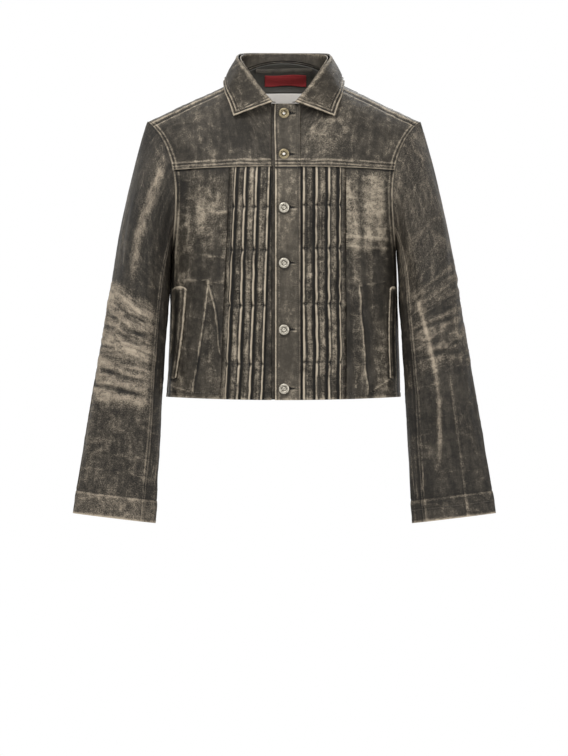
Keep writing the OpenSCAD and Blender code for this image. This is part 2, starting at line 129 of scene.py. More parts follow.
def skin(x, z, off, side):
    """Points of the body's surface at x and z, off millimetres inside its outer face."""
    x, z = np.asarray(x, float), np.asarray(z, float)
    w = half_w(z)
    fall = clamp01((crown_z(x, side) - z) / SHOULDER_R)
    round_over = np.sqrt(clamp01(1 - (1 - fall) ** 2))
    section = clamp01(1 - np.minimum(1, np.abs(x) / w) ** BOX_POWER) ** (1 / BOX_POWER)
    y = side * (PLY + (depth(z, side) - off) * section * round_over)
    return np.stack([x * (w - off) / w, y, z - off * (1 - fall)], -1)


def front_neck_z(x):
    return np.where(np.abs(x) >= NECK_W, shoulder_z(x), lerp(-31, NECK_Z, (np.abs(x) / NECK_W) ** 2.2))


def back_neck_z(x):
    inside = clamp01(1 - (x / NECK_W) ** 2)
    return np.where(np.abs(x) >= NECK_W, shoulder_z(x), lerp(NECK_Z, 43, inside ** 0.55))


def yoke_z(x):
    return -132 - 5 * (x / UNDERARM_W) ** 2


def back_yoke_z(x):
    return -112 - 4 * (x / UNDERARM_W) ** 2


def hem_z(x):
    return HEM_Z + 5 * (x / HEM_W) ** 2


def back_seam_x(share):
    """The seam between the back's centre and side panels, share of the way down."""
    return lerp(74, 96, share)


# ---- Wrinkles ----
def lattice(i, j, seed):
    h = np.sin(i * 127.1 + j * 311.7 + seed * 74.7) * 43758.5453
    return h - np.floor(h)


def ripple(a, b, size_a, size_b, seed):
    """Smooth noise from -1 to 1 over a and b, with bumps size_a by size_b."""
    a, b = np.asarray(a) / size_a + 100, np.asarray(b) / size_b + 100
    i, j = np.floor(a), np.floor(b)
    s, t = ease(a - i), ease(b - j)
    low = lerp(lattice(i, j, seed), lattice(i + 1, j, seed), s)
    high = lerp(lattice(i, j + 1, seed), lattice(i + 1, j + 1, seed), s)
    return 2 * lerp(low, high, t) - 1


def creases(a, b, size_a, size_b, seed):
    """Sharp raised creases from 0 to 1 where smooth noise crosses nought."""
    folded = 1 - np.abs(ripple(a, b, size_a, size_b, seed))
    return folded ** 14


def bump_at(d, width):
    return np.exp(-(d / width) ** 2)


def bands(d, *rows):
    """The sum of bumps over the distance d, each given by its strength, place and width."""
    return sum(strength * bump_at(d - place, width) for strength, place, width in rows)


def line_distance(x, z, x0, z0, x1, z1):
    along = clamp01(((x - x0) * (x1 - x0) + (z - z0) * (z1 - z0)) / ((x1 - x0) ** 2 + (z1 - z0) ** 2))
    return np.hypot(x - lerp(x0, x1, along), z - lerp(z0, z1, along))


# ---- Making pieces ----
def grid_faces(rows, cols, start, flip):
    r, c = np.meshgrid(np.arange(rows - 1), np.arange(cols - 1), indexing="ij")
    a = start + r * cols + c
    faces = np.stack([a, a + cols, a + cols + 1, a + 1], -1).reshape(-1, 4)
    return faces[:, ::-1] if flip else faces


def rim_faces(ring, count, flip):
    nxt = np.roll(ring, -1)
    faces = np.stack([ring, nxt, nxt + count, ring + count], -1)
    return faces[:, ::-1] if flip else faces


def new_piece(name, verts, faces, material, nodes=()):
    """A smooth object from points in millimetres, in place of the nodes that are named."""
    mesh = bpy.data.meshes.new(name)
    mesh.from_pydata((np.asarray(verts) * MM).tolist(), [], faces)
    mesh.polygons.foreach_set("use_smooth", [True] * len(faces))
    mesh.materials.append(material)
    piece = bpy.data.objects.new(name + "_sewn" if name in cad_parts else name, mesh)
    bpy.context.scene.collection.objects.link(piece)
    if nodes:
        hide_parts(*nodes)
    return piece


def set_cut(mesh, cut):
    """Gives each corner its point's place on the flat cut, in units of 100 mm."""
    corners = np.empty(len(mesh.loops), int)
    mesh.loops.foreach_get("vertex_index", corners)
    layer = mesh.uv_layers.new(name="cut")
    layer.data.foreach_set("uv", cut[corners].ravel().astype(np.float32))


def set_mark(mesh, mark, values):
    mesh.attributes.new(mark, "FLOAT", "POINT").data.foreach_set("value", np.asarray(values, np.float32))


def sheet_piece(name, outer, inner, material, body="torso", nodes=None, flip=False, mirror=False,
                marks=None, crisp=False):
    """A sewn piece with an outer and an inner face and a rim round its edge."""
    if mirror:
        outer, inner, flip = outer * MIRROR, inner * MIRROR, not flip
    rows, cols = outer.shape[:2]
    count = rows * cols
    index = np.arange(count).reshape(rows, cols)
    border = np.concatenate([index[0], index[1:, -1], index[-1, -2::-1], index[-2:0:-1, 0]])
    faces = np.concatenate([grid_faces(rows, cols, 0, flip), grid_faces(rows, cols, count, not flip),
                            rim_faces(border, count, flip)])
    verts = np.concatenate([outer.reshape(-1, 3), inner.reshape(-1, 3)])
    piece = new_piece(name, verts, faces.tolist(), material, nodes or [name])
    mesh = piece.data
    across = np.linalg.norm(np.diff(outer, axis=1), axis=-1)
    down = np.linalg.norm(np.diff(outer, axis=0), axis=-1)
    u = np.concatenate([np.zeros((rows, 1)), np.cumsum(across, 1)], 1)
    u = u - u[:, cols // 2:cols // 2 + 1]
    v = np.concatenate([np.zeros((1, cols)), np.cumsum(down, 0)], 0).mean(1, keepdims=True) + 0 * u
    seed = sum(ord(letter) for letter in name) % 97
    cut = np.stack([u / 100 + seed, v / 100 + seed * 0.37], -1).reshape(-1, 2)
    set_cut(mesh, np.concatenate([cut, cut]))
    for mark in ("wear", "shade"):
        values = np.broadcast_to((marks or {}).get(mark, 0), (rows, cols)).ravel()
        set_mark(mesh, mark, np.concatenate([values, values]))
    if crisp:
        edges = np.empty(len(mesh.edges) * 2, int)
        mesh.edges.foreach_get("vertices", edges)
        pairs = edges.reshape(-1, 2)
        on_rim = np.isin(pairs % count, border).all(1) & ((pairs[:, 0] < count) == (pairs[:, 1] < count))
        mesh.attributes.new("sharp_edge", "BOOLEAN", "EDGE").data.foreach_set("value", on_rim)
    if body:
        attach(piece, body)
    return piece


def spaced(count, power=1.0, both=False):
    """Steps from 0 to 1, closer together at the start, at the end (power below 0) or at both."""
    t = np.linspace(0, 1, count)
    if both:
        return (1 - np.cos(np.pi * t)) / 2
    return t ** power if power > 0 else 1 - (1 - t) ** -power


def panel_xz(top, bottom, left, right, us, vs):
    """The x and z of a panel's points between its four edges, each a function or a number."""
    top, bottom, left, right = [edge if callable(edge) else lambda t, at=edge: at + 0 * t
                                for edge in (top, bottom, left, right)]
    u, v = us[None, :], vs[:, None]
    x = lerp(left(v), right(v), u)
    z = lerp(top(lerp(left(0.0), right(0.0), u)), bottom(lerp(left(1.0), right(1.0), u)), v)
    return x, z


def body_piece(name, xz, side, off, thick, material, relief=None, marks=None, mirror=False):
    """A piece that lies on the body's surface; relief is its height over the flat cut."""
    x, z = xz
    own_x = -x if mirror else x
    height = np.maximum(relief(own_x, z), DEEPEST) if relief else 0 * x
    outer = skin(x, z, off - height, side)
    inner = skin(x, z, off + thick - np.minimum(height, 1), side)
    sheet_piece(name, outer, inner, material, flip=side == BACK, mirror=mirror,
                marks=marks(own_x, z) if marks else None)


# ---- Finishes ----
COLOUR, NUMBER = "NodeSocketColor", "NodeSocketFloat"


def shader(name):
    material = bpy.data.materials.new(name)
    material.use_nodes = True
    return material, material.node_tree, material.node_tree.nodes["Principled BSDF"]


def feed(tree, node, values):
    """Links a node's inputs to other nodes' outputs, or gives them plain values."""
    for label, value in values.items():
        if hasattr(value, "is_output"):
            tree.links.new(value, node.inputs[label])
        else:
            node.inputs[label].default_value = value


def math_node(tree, operation, *values, clamp=False):
    node = tree.nodes.new("ShaderNodeMath")
    node.operation, node.use_clamp = operation, clamp
    feed(tree, node, dict(enumerate(values)))
    return node.outputs[0]


def mix_colour(tree, share, first, second):
    node = tree.nodes.new("ShaderNodeMix")
    node.data_type = "RGBA"
    feed(tree, node, {0: share, 6: first, 7: second})
    return node.outputs[2]


def ramp_between(tree, value, low, high):
    node = tree.nodes.new("ShaderNodeMapRange")
    node.interpolation_type = "SMOOTHSTEP"
    feed(tree, node, {0: value, 1: low, 2: high})
    return node.outputs[0]


def noise_at(tree, vector, scale, detail, rough, stretch=None):
    if stretch:
        mapping = tree.nodes.new("ShaderNodeMapping")
        feed(tree, mapping, {0: vector, "Scale": (stretch[0], stretch[1], 1)})
        mapping.inputs["Rotation"].default_value[2] = stretch[2]
        vector = mapping.outputs[0]
    node = tree.nodes.new("ShaderNodeTexNoise")
    feed(tree, node, {"Vector": vector, "Scale": scale, "Detail": detail, "Roughness": rough})
    return node.outputs["Fac"]


def cut_place(tree):
    node = tree.nodes.new("ShaderNodeUVMap")
    node.uv_map = "cut"
    return node.outputs[0]


def attribute(tree, name):
    node = tree.nodes.new("ShaderNodeAttribute")
    node.attribute_name = name
    return node.outputs["Fac"]


def new_group(name, inputs, outputs):
    group = bpy.data.node_groups.new(name, "ShaderNodeTree")
    for label, kind, value in inputs:
        socket = group.interface.new_socket(label, in_out="INPUT", socket_type=kind)
        socket.default_value = value
    for label, kind in outputs:
        group.interface.new_socket(label, in_out="OUTPUT", socket_type=kind)
    return group, group.nodes.new("NodeGroupInput").outputs, group.nodes.new("NodeGroupOutput")


def worn_hide_group():
    """Grained leather whose dye has rubbed off its edges, creases and high places; the Wear input lightens it
    towards the rubbed colour, which on the sleeves also paints highlights, and the Shade input paints shade
    towards near black.
    """
    group, given, out = new_group(
        "worn hide",
        [("Hide", COLOUR, (0.1, 0.09, 0.08, 1)), ("Rubbed", COLOUR, (0.4, 0.36, 0.3, 1)),
         ("Shadow", COLOUR, (0.02, 0.02, 0.02, 1)), ("Wear", NUMBER, 0.0), ("Shade", NUMBER, 0.0),
         ("Patches", NUMBER, 0.5)],
        [("Color", COLOUR), ("Roughness", NUMBER), ("Height", NUMBER)])
    place = cut_place(group)

    def times(a, b, clamp=False):
        return math_node(group, "MULTIPLY", a, b, clamp=clamp)

    def plus(a, b, clamp=False):
        return math_node(group, "ADD", a, b, clamp=clamp)

    def less(a, b):
        return math_node(group, "SUBTRACT", a, b)

    clouds = noise_at(group, place, 1.7, 5, 0.6)
    mottle = noise_at(group, place, 9, 6, 0.68)
    fine = noise_at(group, place, 58, 3, 0.75)
    pores = noise_at(group, place, 130, 2, 0.6)
    streaks = noise_at(group, place, 2.4, 5, 0.65, stretch=(4.2, 0.8, 0.06))
    cells = group.nodes.new("ShaderNodeTexVoronoi")
    cells.feature = "DISTANCE_TO_EDGE"
    feed(group, cells, {"Vector": place, "Scale": 66})
    grain = ramp_between(group, cells.outputs["Distance"], 0.02, 0.30)
    tone = plus(times(clouds, 0.35), plus(times(mottle, 0.33), times(streaks, 0.32)))
    ground = mix_colour(group, ramp_between(group, tone, 0.42, 0.56), given["Shadow"], given["Hide"])
    patch = times(ramp_between(group, tone, 0.47, 0.62), given["Patches"])
    amount = plus(patch, times(given["Wear"], plus(0.05, times(mottle, 1.9))))
    dither = plus(times(less(fine, 0.5), 1.2), plus(times(less(pores, 0.5), 1.1), times(less(grain, 0.6), 0.5)))
    mask = times(ramp_between(group, plus(amount, dither), 0.05, 1.15), times(amount, 3, clamp=True))
    for turn, reach in ((0.5, 26), (-0.9, 20), (1.35, 30)):
        scratches = noise_at(group, place, 2.6, 4, 0.7, stretch=(1.2, reach, turn))
        mask = plus(mask, times(ramp_between(group, scratches, 0.66, 0.74), 0.33))
    flecks = times(ramp_between(group, fine, 0.52, 0.8), 0.16)
    worn = plus(mask, flecks, clamp=True)
    pitted = mix_colour(group, times(less(1.0, grain), 0.55), ground, given["Shadow"])
    rubbed = mix_colour(group, worn, pitted, given["Rubbed"])
    # Painted shade: the Shade mark mixes the colour towards near black.
    feed(group, out, {"Color": mix_colour(group, given["Shade"], rubbed, (0.006, 0.0054, 0.0045, 1)),
                      "Roughness": plus(less(0.66, times(clouds, 0.28)), times(worn, 0.16)),
                      "Height": plus(times(grain, 0.45), plus(times(fine, 0.7), times(mottle, 1.5)))})
    return group


def weave_group():
    """Crossed threads, as a tone from 0 to 1 and a height."""
    group, given, out = new_group("weave", [("Threads", NUMBER, 60.0)], [("Tone", NUMBER), ("Height", NUMBER)])
    place, waves = cut_place(group), []
    for axis in ("X", "Y"):
        wave = group.nodes.new("ShaderNodeTexWave")
        wave.bands_direction = axis
        feed(group, wave, {"Vector": place, "Scale": given["Threads"], "Distortion": 0.6})
        waves.append(wave.outputs["Fac"])
    crossed = math_node(group, "MULTIPLY", *waves)
    cloud = noise_at(group, place, 9, 4, 0.6)
    tone = math_node(group, "ADD", math_node(group, "MULTIPLY", crossed, 0.4),
                     math_node(group, "MULTIPLY", cloud, 0.6))
    feed(group, out, {"Tone": tone, "Height": crossed})
    return group


HIDE_GROUP, WEAVE_GROUP = worn_hide_group(), weave_group()


def group_node(tree, group, values):
    node = tree.nodes.new("ShaderNodeGroup")
    node.node_tree = group
    feed(tree, node, values)
    return node.outputs


def bump(tree, bsdf, height, distance, strength):
    node = tree.nodes.new("ShaderNodeBump")
    feed(tree, node, {"Height": height, "Distance": distance, "Strength": strength})
    feed(tree, bsdf, {"Normal": node.outputs[0]})


def leather(name, hide, rubbed, shadow, patches):
    material, tree, bsdf = shader(name)
    worn = group_node(tree, HIDE_GROUP, {
        "Hide": (*hide, 1), "Rubbed": (*rubbed, 1), "Shadow": (*shadow, 1), "Patches": patches,
        "Wear": attribute(tree, "wear"), "Shade": attribute(tree, "shade")})
    feed(tree, bsdf, {"Base Color": worn["Color"], "Roughness": worn["Roughness"], "Specular IOR Level": 0.2})
    bump(tree, bsdf, worn["Height"], 0.0006, 0.8)
    return material


def cloth(name, light, dark, threads, roughness, sheen=0.0):
    material, tree, bsdf = shader(name)
    weave = group_node(tree, WEAVE_GROUP, {"Threads": threads})
    feed(tree, bsdf, {"Base Color": mix_colour(tree, weave["Tone"], (*dark, 1), (*light, 1)),
                      "Roughness": roughness, "Sheen Weight": sheen})
    bump(tree, bsdf, weave["Height"], 0.0002, 0.5)
    return material


def aged_metal(name, bright, tarnish, roughness):
    material, tree, bsdf = shader(name)
    place = tree.nodes.new("ShaderNodeTexCoord").outputs["Object"]
    spots = noise_at(tree, place, 420, 4, 0.6)
    plate = mix_colour(tree, ramp_between(tree, spots, 0.42, 0.72), (*bright, 1), (*tarnish, 1))
    feed(tree, bsdf, {"Base Color": mix_colour(tree, attribute(tree, "shade"), plate, (0.02, 0.018, 0.014, 1)),
                      "Roughness": math_node(tree, "ADD", roughness, math_node(tree, "MULTIPLY", spots, 0.25)),
                      "Metallic": 0.9})
    bump(tree, bsdf, spots, 0.0001, 0.4)
    return material


RUBBED = (0.56, 0.475, 0.36)
BODY_HIDE = leather("body hide", (0.088, 0.075, 0.058), RUBBED, (0.022, 0.0185, 0.014), 0.42)
PLEAT_HIDE = leather("pleated hide", (0.07, 0.06, 0.047), RUBBED, (0.016, 0.0135, 0.01), 0.36)
# The sleeve's rubbed colour shows its real wear and also its painted highlights.
SLEEVE_HIDE = leather("sleeve hide", (0.064, 0.055, 0.043), (0.52, 0.435, 0.33), (0.017, 0.0148, 0.012),
                      0.24)
PLACKET_HIDE = leather("placket hide", (0.15, 0.128, 0.098), RUBBED, (0.055, 0.047, 0.036), 0.5)
COLLAR_HIDE = leather("collar hide", (0.052, 0.043, 0.031), RUBBED, (0.02, 0.016, 0.011), 0.24)
INNER_HIDE = leather("inner hide", (0.05, 0.044, 0.035), (0.2, 0.175, 0.14), (0.013, 0.0115, 0.009), 0.2)
SATIN = cloth("neck satin", (0.062, 0.058, 0.046), (0.03, 0.028, 0.022), 90, 0.42, 0.2)
COTTON = cloth("lining cotton", (0.94, 0.91, 0.86), (0.84, 0.80, 0.75), 70, 0.85)
LABEL_WEAVE = cloth("label weave", (0.38, 0.022, 0.024), (0.22, 0.01, 0.012), 55, 0.7)
THREAD = cloth("thread", (0.24, 0.21, 0.17), (0.12, 0.105, 0.085), 80, 0.8)
CAP_METAL = aged_metal("antique plate", (0.55, 0.51, 0.43), (0.15, 0.13, 0.10), 0.28)
CAP_BRASS = aged_metal("tarnished brass", (0.34, 0.28, 0.17), (0.09, 0.075, 0.045), 0.34)
TACK_METAL = aged_metal("plain plate", (0.45, 0.44, 0.42), (0.25, 0.24, 0.22), 0.35)


# ---- Relief: heights over the flat cut, in millimetres, and marks of wear and shade ----
def crumple(x, z, seed, amount=1.0):
    broad = 1.2 * ripple(x, z, 58, 74, seed) + 0.6 * ripple(x, z, 21, 27, seed + 1)
    fine = 0.35 * ripple(x, z, 8, 10, seed + 2) + 0.7 * creases(x, z, 31, 24, seed + 3)
    return amount * (broad + fine)


def seam_pull(along, d, seed, reach=12):
    """Puckers that run away from a seam at distance d."""
    return 0.55 * ripple(along, d, 6, 40, seed) * np.exp(-np.abs(d) / reach)


def worn_and_dark(wear, shade):
    return {"wear": wear, "shade": np.clip(shade, 0, 1)}


def yoke_relief(x, z):
    d, ridge = z - yoke_z(x), crown_z(x, FRONT) - z
    return (0.7 * crumple(x, z, 3) + 0.9 * ease((14 - d) / 8) + seam_pull(x, d, 5)
            + bands(d, (-0.9, 5.5, 1.0), (-0.8, 11, 1.0)) + bands(ridge, (-1.0, 9, 1.6), (0.5, 4, 3)))


def yoke_marks(x, z):
    d, ridge = z - yoke_z(x), crown_z(x, FRONT) - z
    d_arm = armhole_x(z, FRONT) - np.abs(x)
    wear = (bands(d, (1.5, 0.6, 1.3), (0.7, 5.5, 1.6), (0.8, 11, 1.5))
            + bands(ridge, (0.9, 5.5, 1.3), (0.7, 12, 1.2)) + bands(d_arm, (0.9, 1.2, 1.2), (0.7, 7, 1.2))
            + 0.25 * creases(x, z, 31, 24, 6) + 0.35 * bump_at(x - 60, 55) * bump_at(z + 85, 40))
    return worn_and_dark(wear, bands(d, (0.75, 2.9, 1.1), (0.75, 8.2, 1.3)) + 0.6 * bump_at(ridge - 8.8, 1.5)
                         + bands(d_arm, (0.55, 4, 1.4), (0.25, 12, 4)))


POCKET_LINES = {
    -1: [((-168, -313), (-119, -313)), ((-119, -313), (-147, -492)), ((-180, -480), (-147, -492)),
         ((-119, -322), (-109, -362)), ((-109, -362), (-103, -429))],
    1: [((133, -494), (177, -467)), ((160, -316), (120, -322)), ((120, -322), (133, -494))],
}
STRAP_LINES = {
    -1: [((-117, -204), (-92, -205)), ((-118, -275), (-94, -277)), ((-120, -317), (-97, -316))],
    1: [((99, -243), (165, -247)), ((101, -259), (165, -262))],
}
# Folds dented into the front panels, with painted shade along them.
DARK_FOLDS = {-1: [((-95, -373), (-139, -448))], 1: [((104, -330), (140, -405)), ((106, -400), (128, -452))]}


def side_lines(x, z, table, width):
    """Bumps along straight lines, each on its own side of the front."""
    total = 0 * x
    for side, lines in table.items():
        for start, stop in lines:
            line = bump_at(line_distance(x, z, *start, *stop), width)
            total = np.maximum(total, np.where(x * side > 0, line, 0))
    return total


def front_relief(x, z):
    d_top, d_hem = yoke_z(x) - z, z - hem_z(x)
    d_arm = armhole_x(z, FRONT) - np.abs(x)
    drape = 2.2 * ripple(x + 0.12 * z, z, 34, 230, 11) * ease(d_top / 60)
    sag = 1.5 * ripple(x * 0.7 + z * 0.7, x * 0.7 - z * 0.7, 60, 18, 12) * ease((-z - 290) / 80)
    return ((crumple(x, z, 8) + drape + sag) * ease(d_arm / 25 + 0.25)
            - 0.7 * ease((5 - d_top) / 4) + seam_pull(x, d_top, 14)
            + 1.1 * side_lines(x, z, POCKET_LINES, 2.4) + 0.9 * side_lines(x, z, STRAP_LINES, 3.0)
            - 2.6 * side_lines(x, z, DARK_FOLDS, 7) + bands(d_hem, (0.5, 3, 3), (-0.8, 9, 1.2)))


def front_marks(x, z):
    d_top, d_hem = yoke_z(x) - z, z - hem_z(x)
    d_arm = armhole_x(z, FRONT) - np.abs(x)
    streak = ripple(x + 0.06 * z, z, 11, 150, 46) * ease((-z - 140) / 20)
    wear = (0.85 * side_lines(x, z, POCKET_LINES, 1.3) + 0.42 * side_lines(x, z, STRAP_LINES, 2.6)
            + 0.30 * streak + bands(d_arm, (0.8, 1.2, 1.2), (0.5, 7, 1.2))
            + 0.3 * bump_at(np.abs(x) - 140, 26) * bump_at(z + 190, 60)
            + 0.25 * creases(x, z, 31, 24, 11) + 0.7 * bump_at(d_hem, 2.5)
            + 0.35 * np.where(x > 0, 1, 0.4) * ease((-z - 130) / 40) * ease((z + 300) / 60))
    shade = (bump_at(d_top, 3.4) + 0.7 * side_lines(x - 2.6, z, POCKET_LINES, 1.3)
             + bands(d_arm, (0.6, 4, 1.4), (0.3, 14, 6)) + 0.35 * clamp01(-1.5 * streak - 0.2)
             + 0.5 * bump_at(d_hem - 9, 1.0) + 0.4 * side_lines(x, z, DARK_FOLDS, 9))
    return worn_and_dark(wear, shade)


def back_lines(x, z):
    """How far below the yoke, outside the panel seam and above the hem, and 1 if below the yoke."""
    d = back_yoke_z(x) - z
    seam = np.abs(x) - back_seam_x(d / (back_yoke_z(x) - hem_z(x)))
    return d, seam, z - hem_z(x), np.where(d > 0, 1.0, 0.0)


def back_relief(x, z):
    d, seam, d_hem, below = back_lines(x, z)
    drape = 2.4 * ripple(x + 0.1 * z, z, 44, 260, 21) * ease(np.abs(d) / 60)
    folded = 0.8 * ease((14 + d) / 8) - 0.8 * bump_at(d + 5.5, 1.0)
    return (0.9 * crumple(x, z, 23) + seam_pull(x, d, 25) + np.where(d > 0, -0.7 * ease((5 - d) / 4), folded)
            + below * (drape + bands(seam, (-0.9, 0, 1.2), (-0.6, 7, 1.0))) - 0.8 * bump_at(d_hem - 9, 1.2))


def back_marks(x, z):
    d, seam, d_hem, below = back_lines(x, z)
    wear = (0.8 * bump_at(d + 1, 2) + 0.5 * bump_at(seam - 2, 2.2) * below
            + 0.25 * creases(x, z, 31, 24, 26) + 0.7 * bump_at(d_hem, 2.5))
    return {"wear": wear, "shade": 0.6 * bump_at(d - 1.5, 2) + 0.5 * bump_at(seam, 1.2) * below}


# ---- The body's pieces ----
def arm_edge(top_z, low_z, side, sign=1):
    return lambda v: sign * armhole_x(lerp(top_z, low_z, v), side)


def centre_edge(mirror):
    return (-BAND_X0 if mirror else PLACKET_X1) + SEAM


def side_name(mirror):
    return "right" if mirror else "left"


def corner_rows(top_z, low_z, above, below):
    """Rows with one of them exactly at the underarm's corner."""
    corner = (top_z - UNDERARM_Z) / (top_z - low_z)
    return np.concatenate([np.linspace(0, corner, above), np.linspace(corner, 1, below)[1:]])


def leather_panel(name, xz, side, relief, marks, mirror=False):
    body_piece(name, xz, side, 0, LEATHER_T, BODY_HIDE, relief, marks, mirror)


def front_yoke(mirror):
    low = float(yoke_z(UNDERARM_W))
    xz = panel_xz(front_neck_z, lambda x: yoke_z(x) + SEAM / 2, centre_edge(mirror),
                  arm_edge(TIP_Z, low, FRONT), spaced(90, -1.25), spaced(64, 1.35))
    leather_panel(side_name(mirror) + "_front_yoke", xz, FRONT, yoke_relief, yoke_marks, mirror)


def front_panel(mirror):
    border = RIGHT_BORDER if mirror else LEFT_BORDER
    top, low = float(yoke_z(UNDERARM_W)), float(hem_z(HEM_W))
    xz = panel_xz(lambda x: yoke_z(x) - SEAM / 2, hem_z, lambda v: lerp(*border, v) + SEAM / 2,
                  arm_edge(top, low, FRONT), spaced(60, -1.3), corner_rows(top, low, 60, 110))
    leather_panel(side_name(mirror) + "_front_panel", xz, FRONT, front_relief, front_marks, mirror)


def pleat_panel(mirror):
    """Knife pleats: each fold's edge faces the centre and stands over the leather behind it."""
    folds, border = (RIGHT_FOLDS, RIGHT_BORDER) if mirror else (LEFT_FOLDS, LEFT_BORDER)
    rise, per_pleat, overlap, sign = 3.8, 14, 4.8, -1 if mirror else 1
    # Each column: x at the top, x at the hem, height, wear, shade; the shade columns paint shadow into the gap
    # under each fold's edge and a shaded band down each pleat
    columns = [(centre_edge(mirror), centre_edge(mirror), 0.0, 0.2, 0.0)]
    for fold, end in zip(folds, folds[1:] + [border]):
        columns += [(fold[0] - back, fold[1] - back, height, 0.0, dark) for back, height, dark in
                    ((4.4, 0.0, 0.3), (3.2, -0.5, 0.9), (1.6, -1.0, 1.0), (0.15, -0.9, 1.0))]
        for k in range(per_pleat):
            share = k / per_pleat
            columns.append((lerp(fold[0], end[0] - overlap, share ** 1.3),
                            lerp(fold[1], end[1] - overlap, share ** 1.3),
                            rise * (1 - share) ** 0.8 - (0.7 if k == 0 else 0),
                            1.8 if k < 4 else 0.10 if share < 0.55 else 0.42,
                            0.55 if 0.3 < share < 0.5 else 0))
    columns.append((border[0] - SEAM / 2, border[1] - SEAM / 2, 0.0, 0.1, 0.3))
    tops, lows, heights, rub, dark = np.array(columns).T[:, None, :]
    vs = np.linspace(0, 1, 210)[:, None]
    x, z = lerp(tops, lows, vs), lerp(yoke_z(tops) - SEAM / 2, hem_z(lows), vs)
    wander = 1.1 * ripple(z, x * 0 + sign, 70, 1, 31) + 0.5 * ripple(z, x * 0, 19, 1, 33 + sign)
    held = ease((z - HEM_Z) / 20) * ease((yoke_z(x) - z) / 20)
    x = x + wander * held * ease((np.abs(x) - 27) / 10) * ease((border[0] - 2 - x) / 8)
    d_top, near_edge = yoke_z(x) - z, clamp01(heights / rise * 1.4 + 0.1)

    def tacks(width):
        return near_edge * sum(bump_at(z - row - 1.5 * sign, width) for row in TACK_ROWS)

    pressed = clamp01(tacks(5.5))
    puckers = 0.5 * ripple(x, z, 5, 7, 35) + 0.5 * ripple(x * 2, z, 60, 11, 36)
    height = (heights * (1 - 0.55 * pressed) + puckers * 0.8 - 1.6 * pressed
              + 0.5 * crumple(x * sign, z, 37) - 0.8 * ease((5 - d_top) / 4))
    wear = (rub * (0.75 + 0.5 * ripple(x * sign, z, 14, 30, 38)) + 0.3 * creases(x, z, 14, 9, 39)
            + 0.22 * ripple(x, z, 2.6, 55, 40 + sign) + 0.6 * bump_at(z - hem_z(x), 2.5))
    sheet_piece(side_name(mirror) + "_pleat_panel", skin(x, z, -height, FRONT),
                skin(x, z, LEATHER_T - np.minimum(height, 0), FRONT), PLEAT_HIDE,
                mirror=mirror, marks=worn_and_dark(wear, dark + 0.95 * tacks(2.2) + 0.7 * bump_at(d_top, 3)))


def back_pieces():
    low, hem = float(back_yoke_z(UNDERARM_W)), float(hem_z(HEM_W))
    xz = panel_xz(back_neck_z, lambda x: back_yoke_z(x) + SEAM / 2, arm_edge(TIP_Z, low, BACK, -1),
                  arm_edge(TIP_Z, low, BACK), spaced(150, both=True), spaced(56, 1.35))
    leather_panel("back_yoke", xz, BACK, back_relief, back_marks)
    rows = corner_rows(low, hem, 60, 90)
    xz = panel_xz(lambda x: back_yoke_z(x) - SEAM / 2, hem_z, lambda v: -back_seam_x(v) + SEAM / 2,
                  lambda v: back_seam_x(v) - SEAM / 2, spaced(64), rows)
    leather_panel("back_centre_panel", xz, BACK, back_relief, back_marks)
    xz = panel_xz(lambda x: back_yoke_z(x) - SEAM / 2, hem_z, lambda v: back_seam_x(v) + SEAM / 2,
                  arm_edge(low, hem, BACK), spaced(60, -1.3), rows)
    for mirror in (False, True):
        leather_panel(side_name(mirror) + "_back_panel", xz, BACK, back_relief, back_marks, mirror)


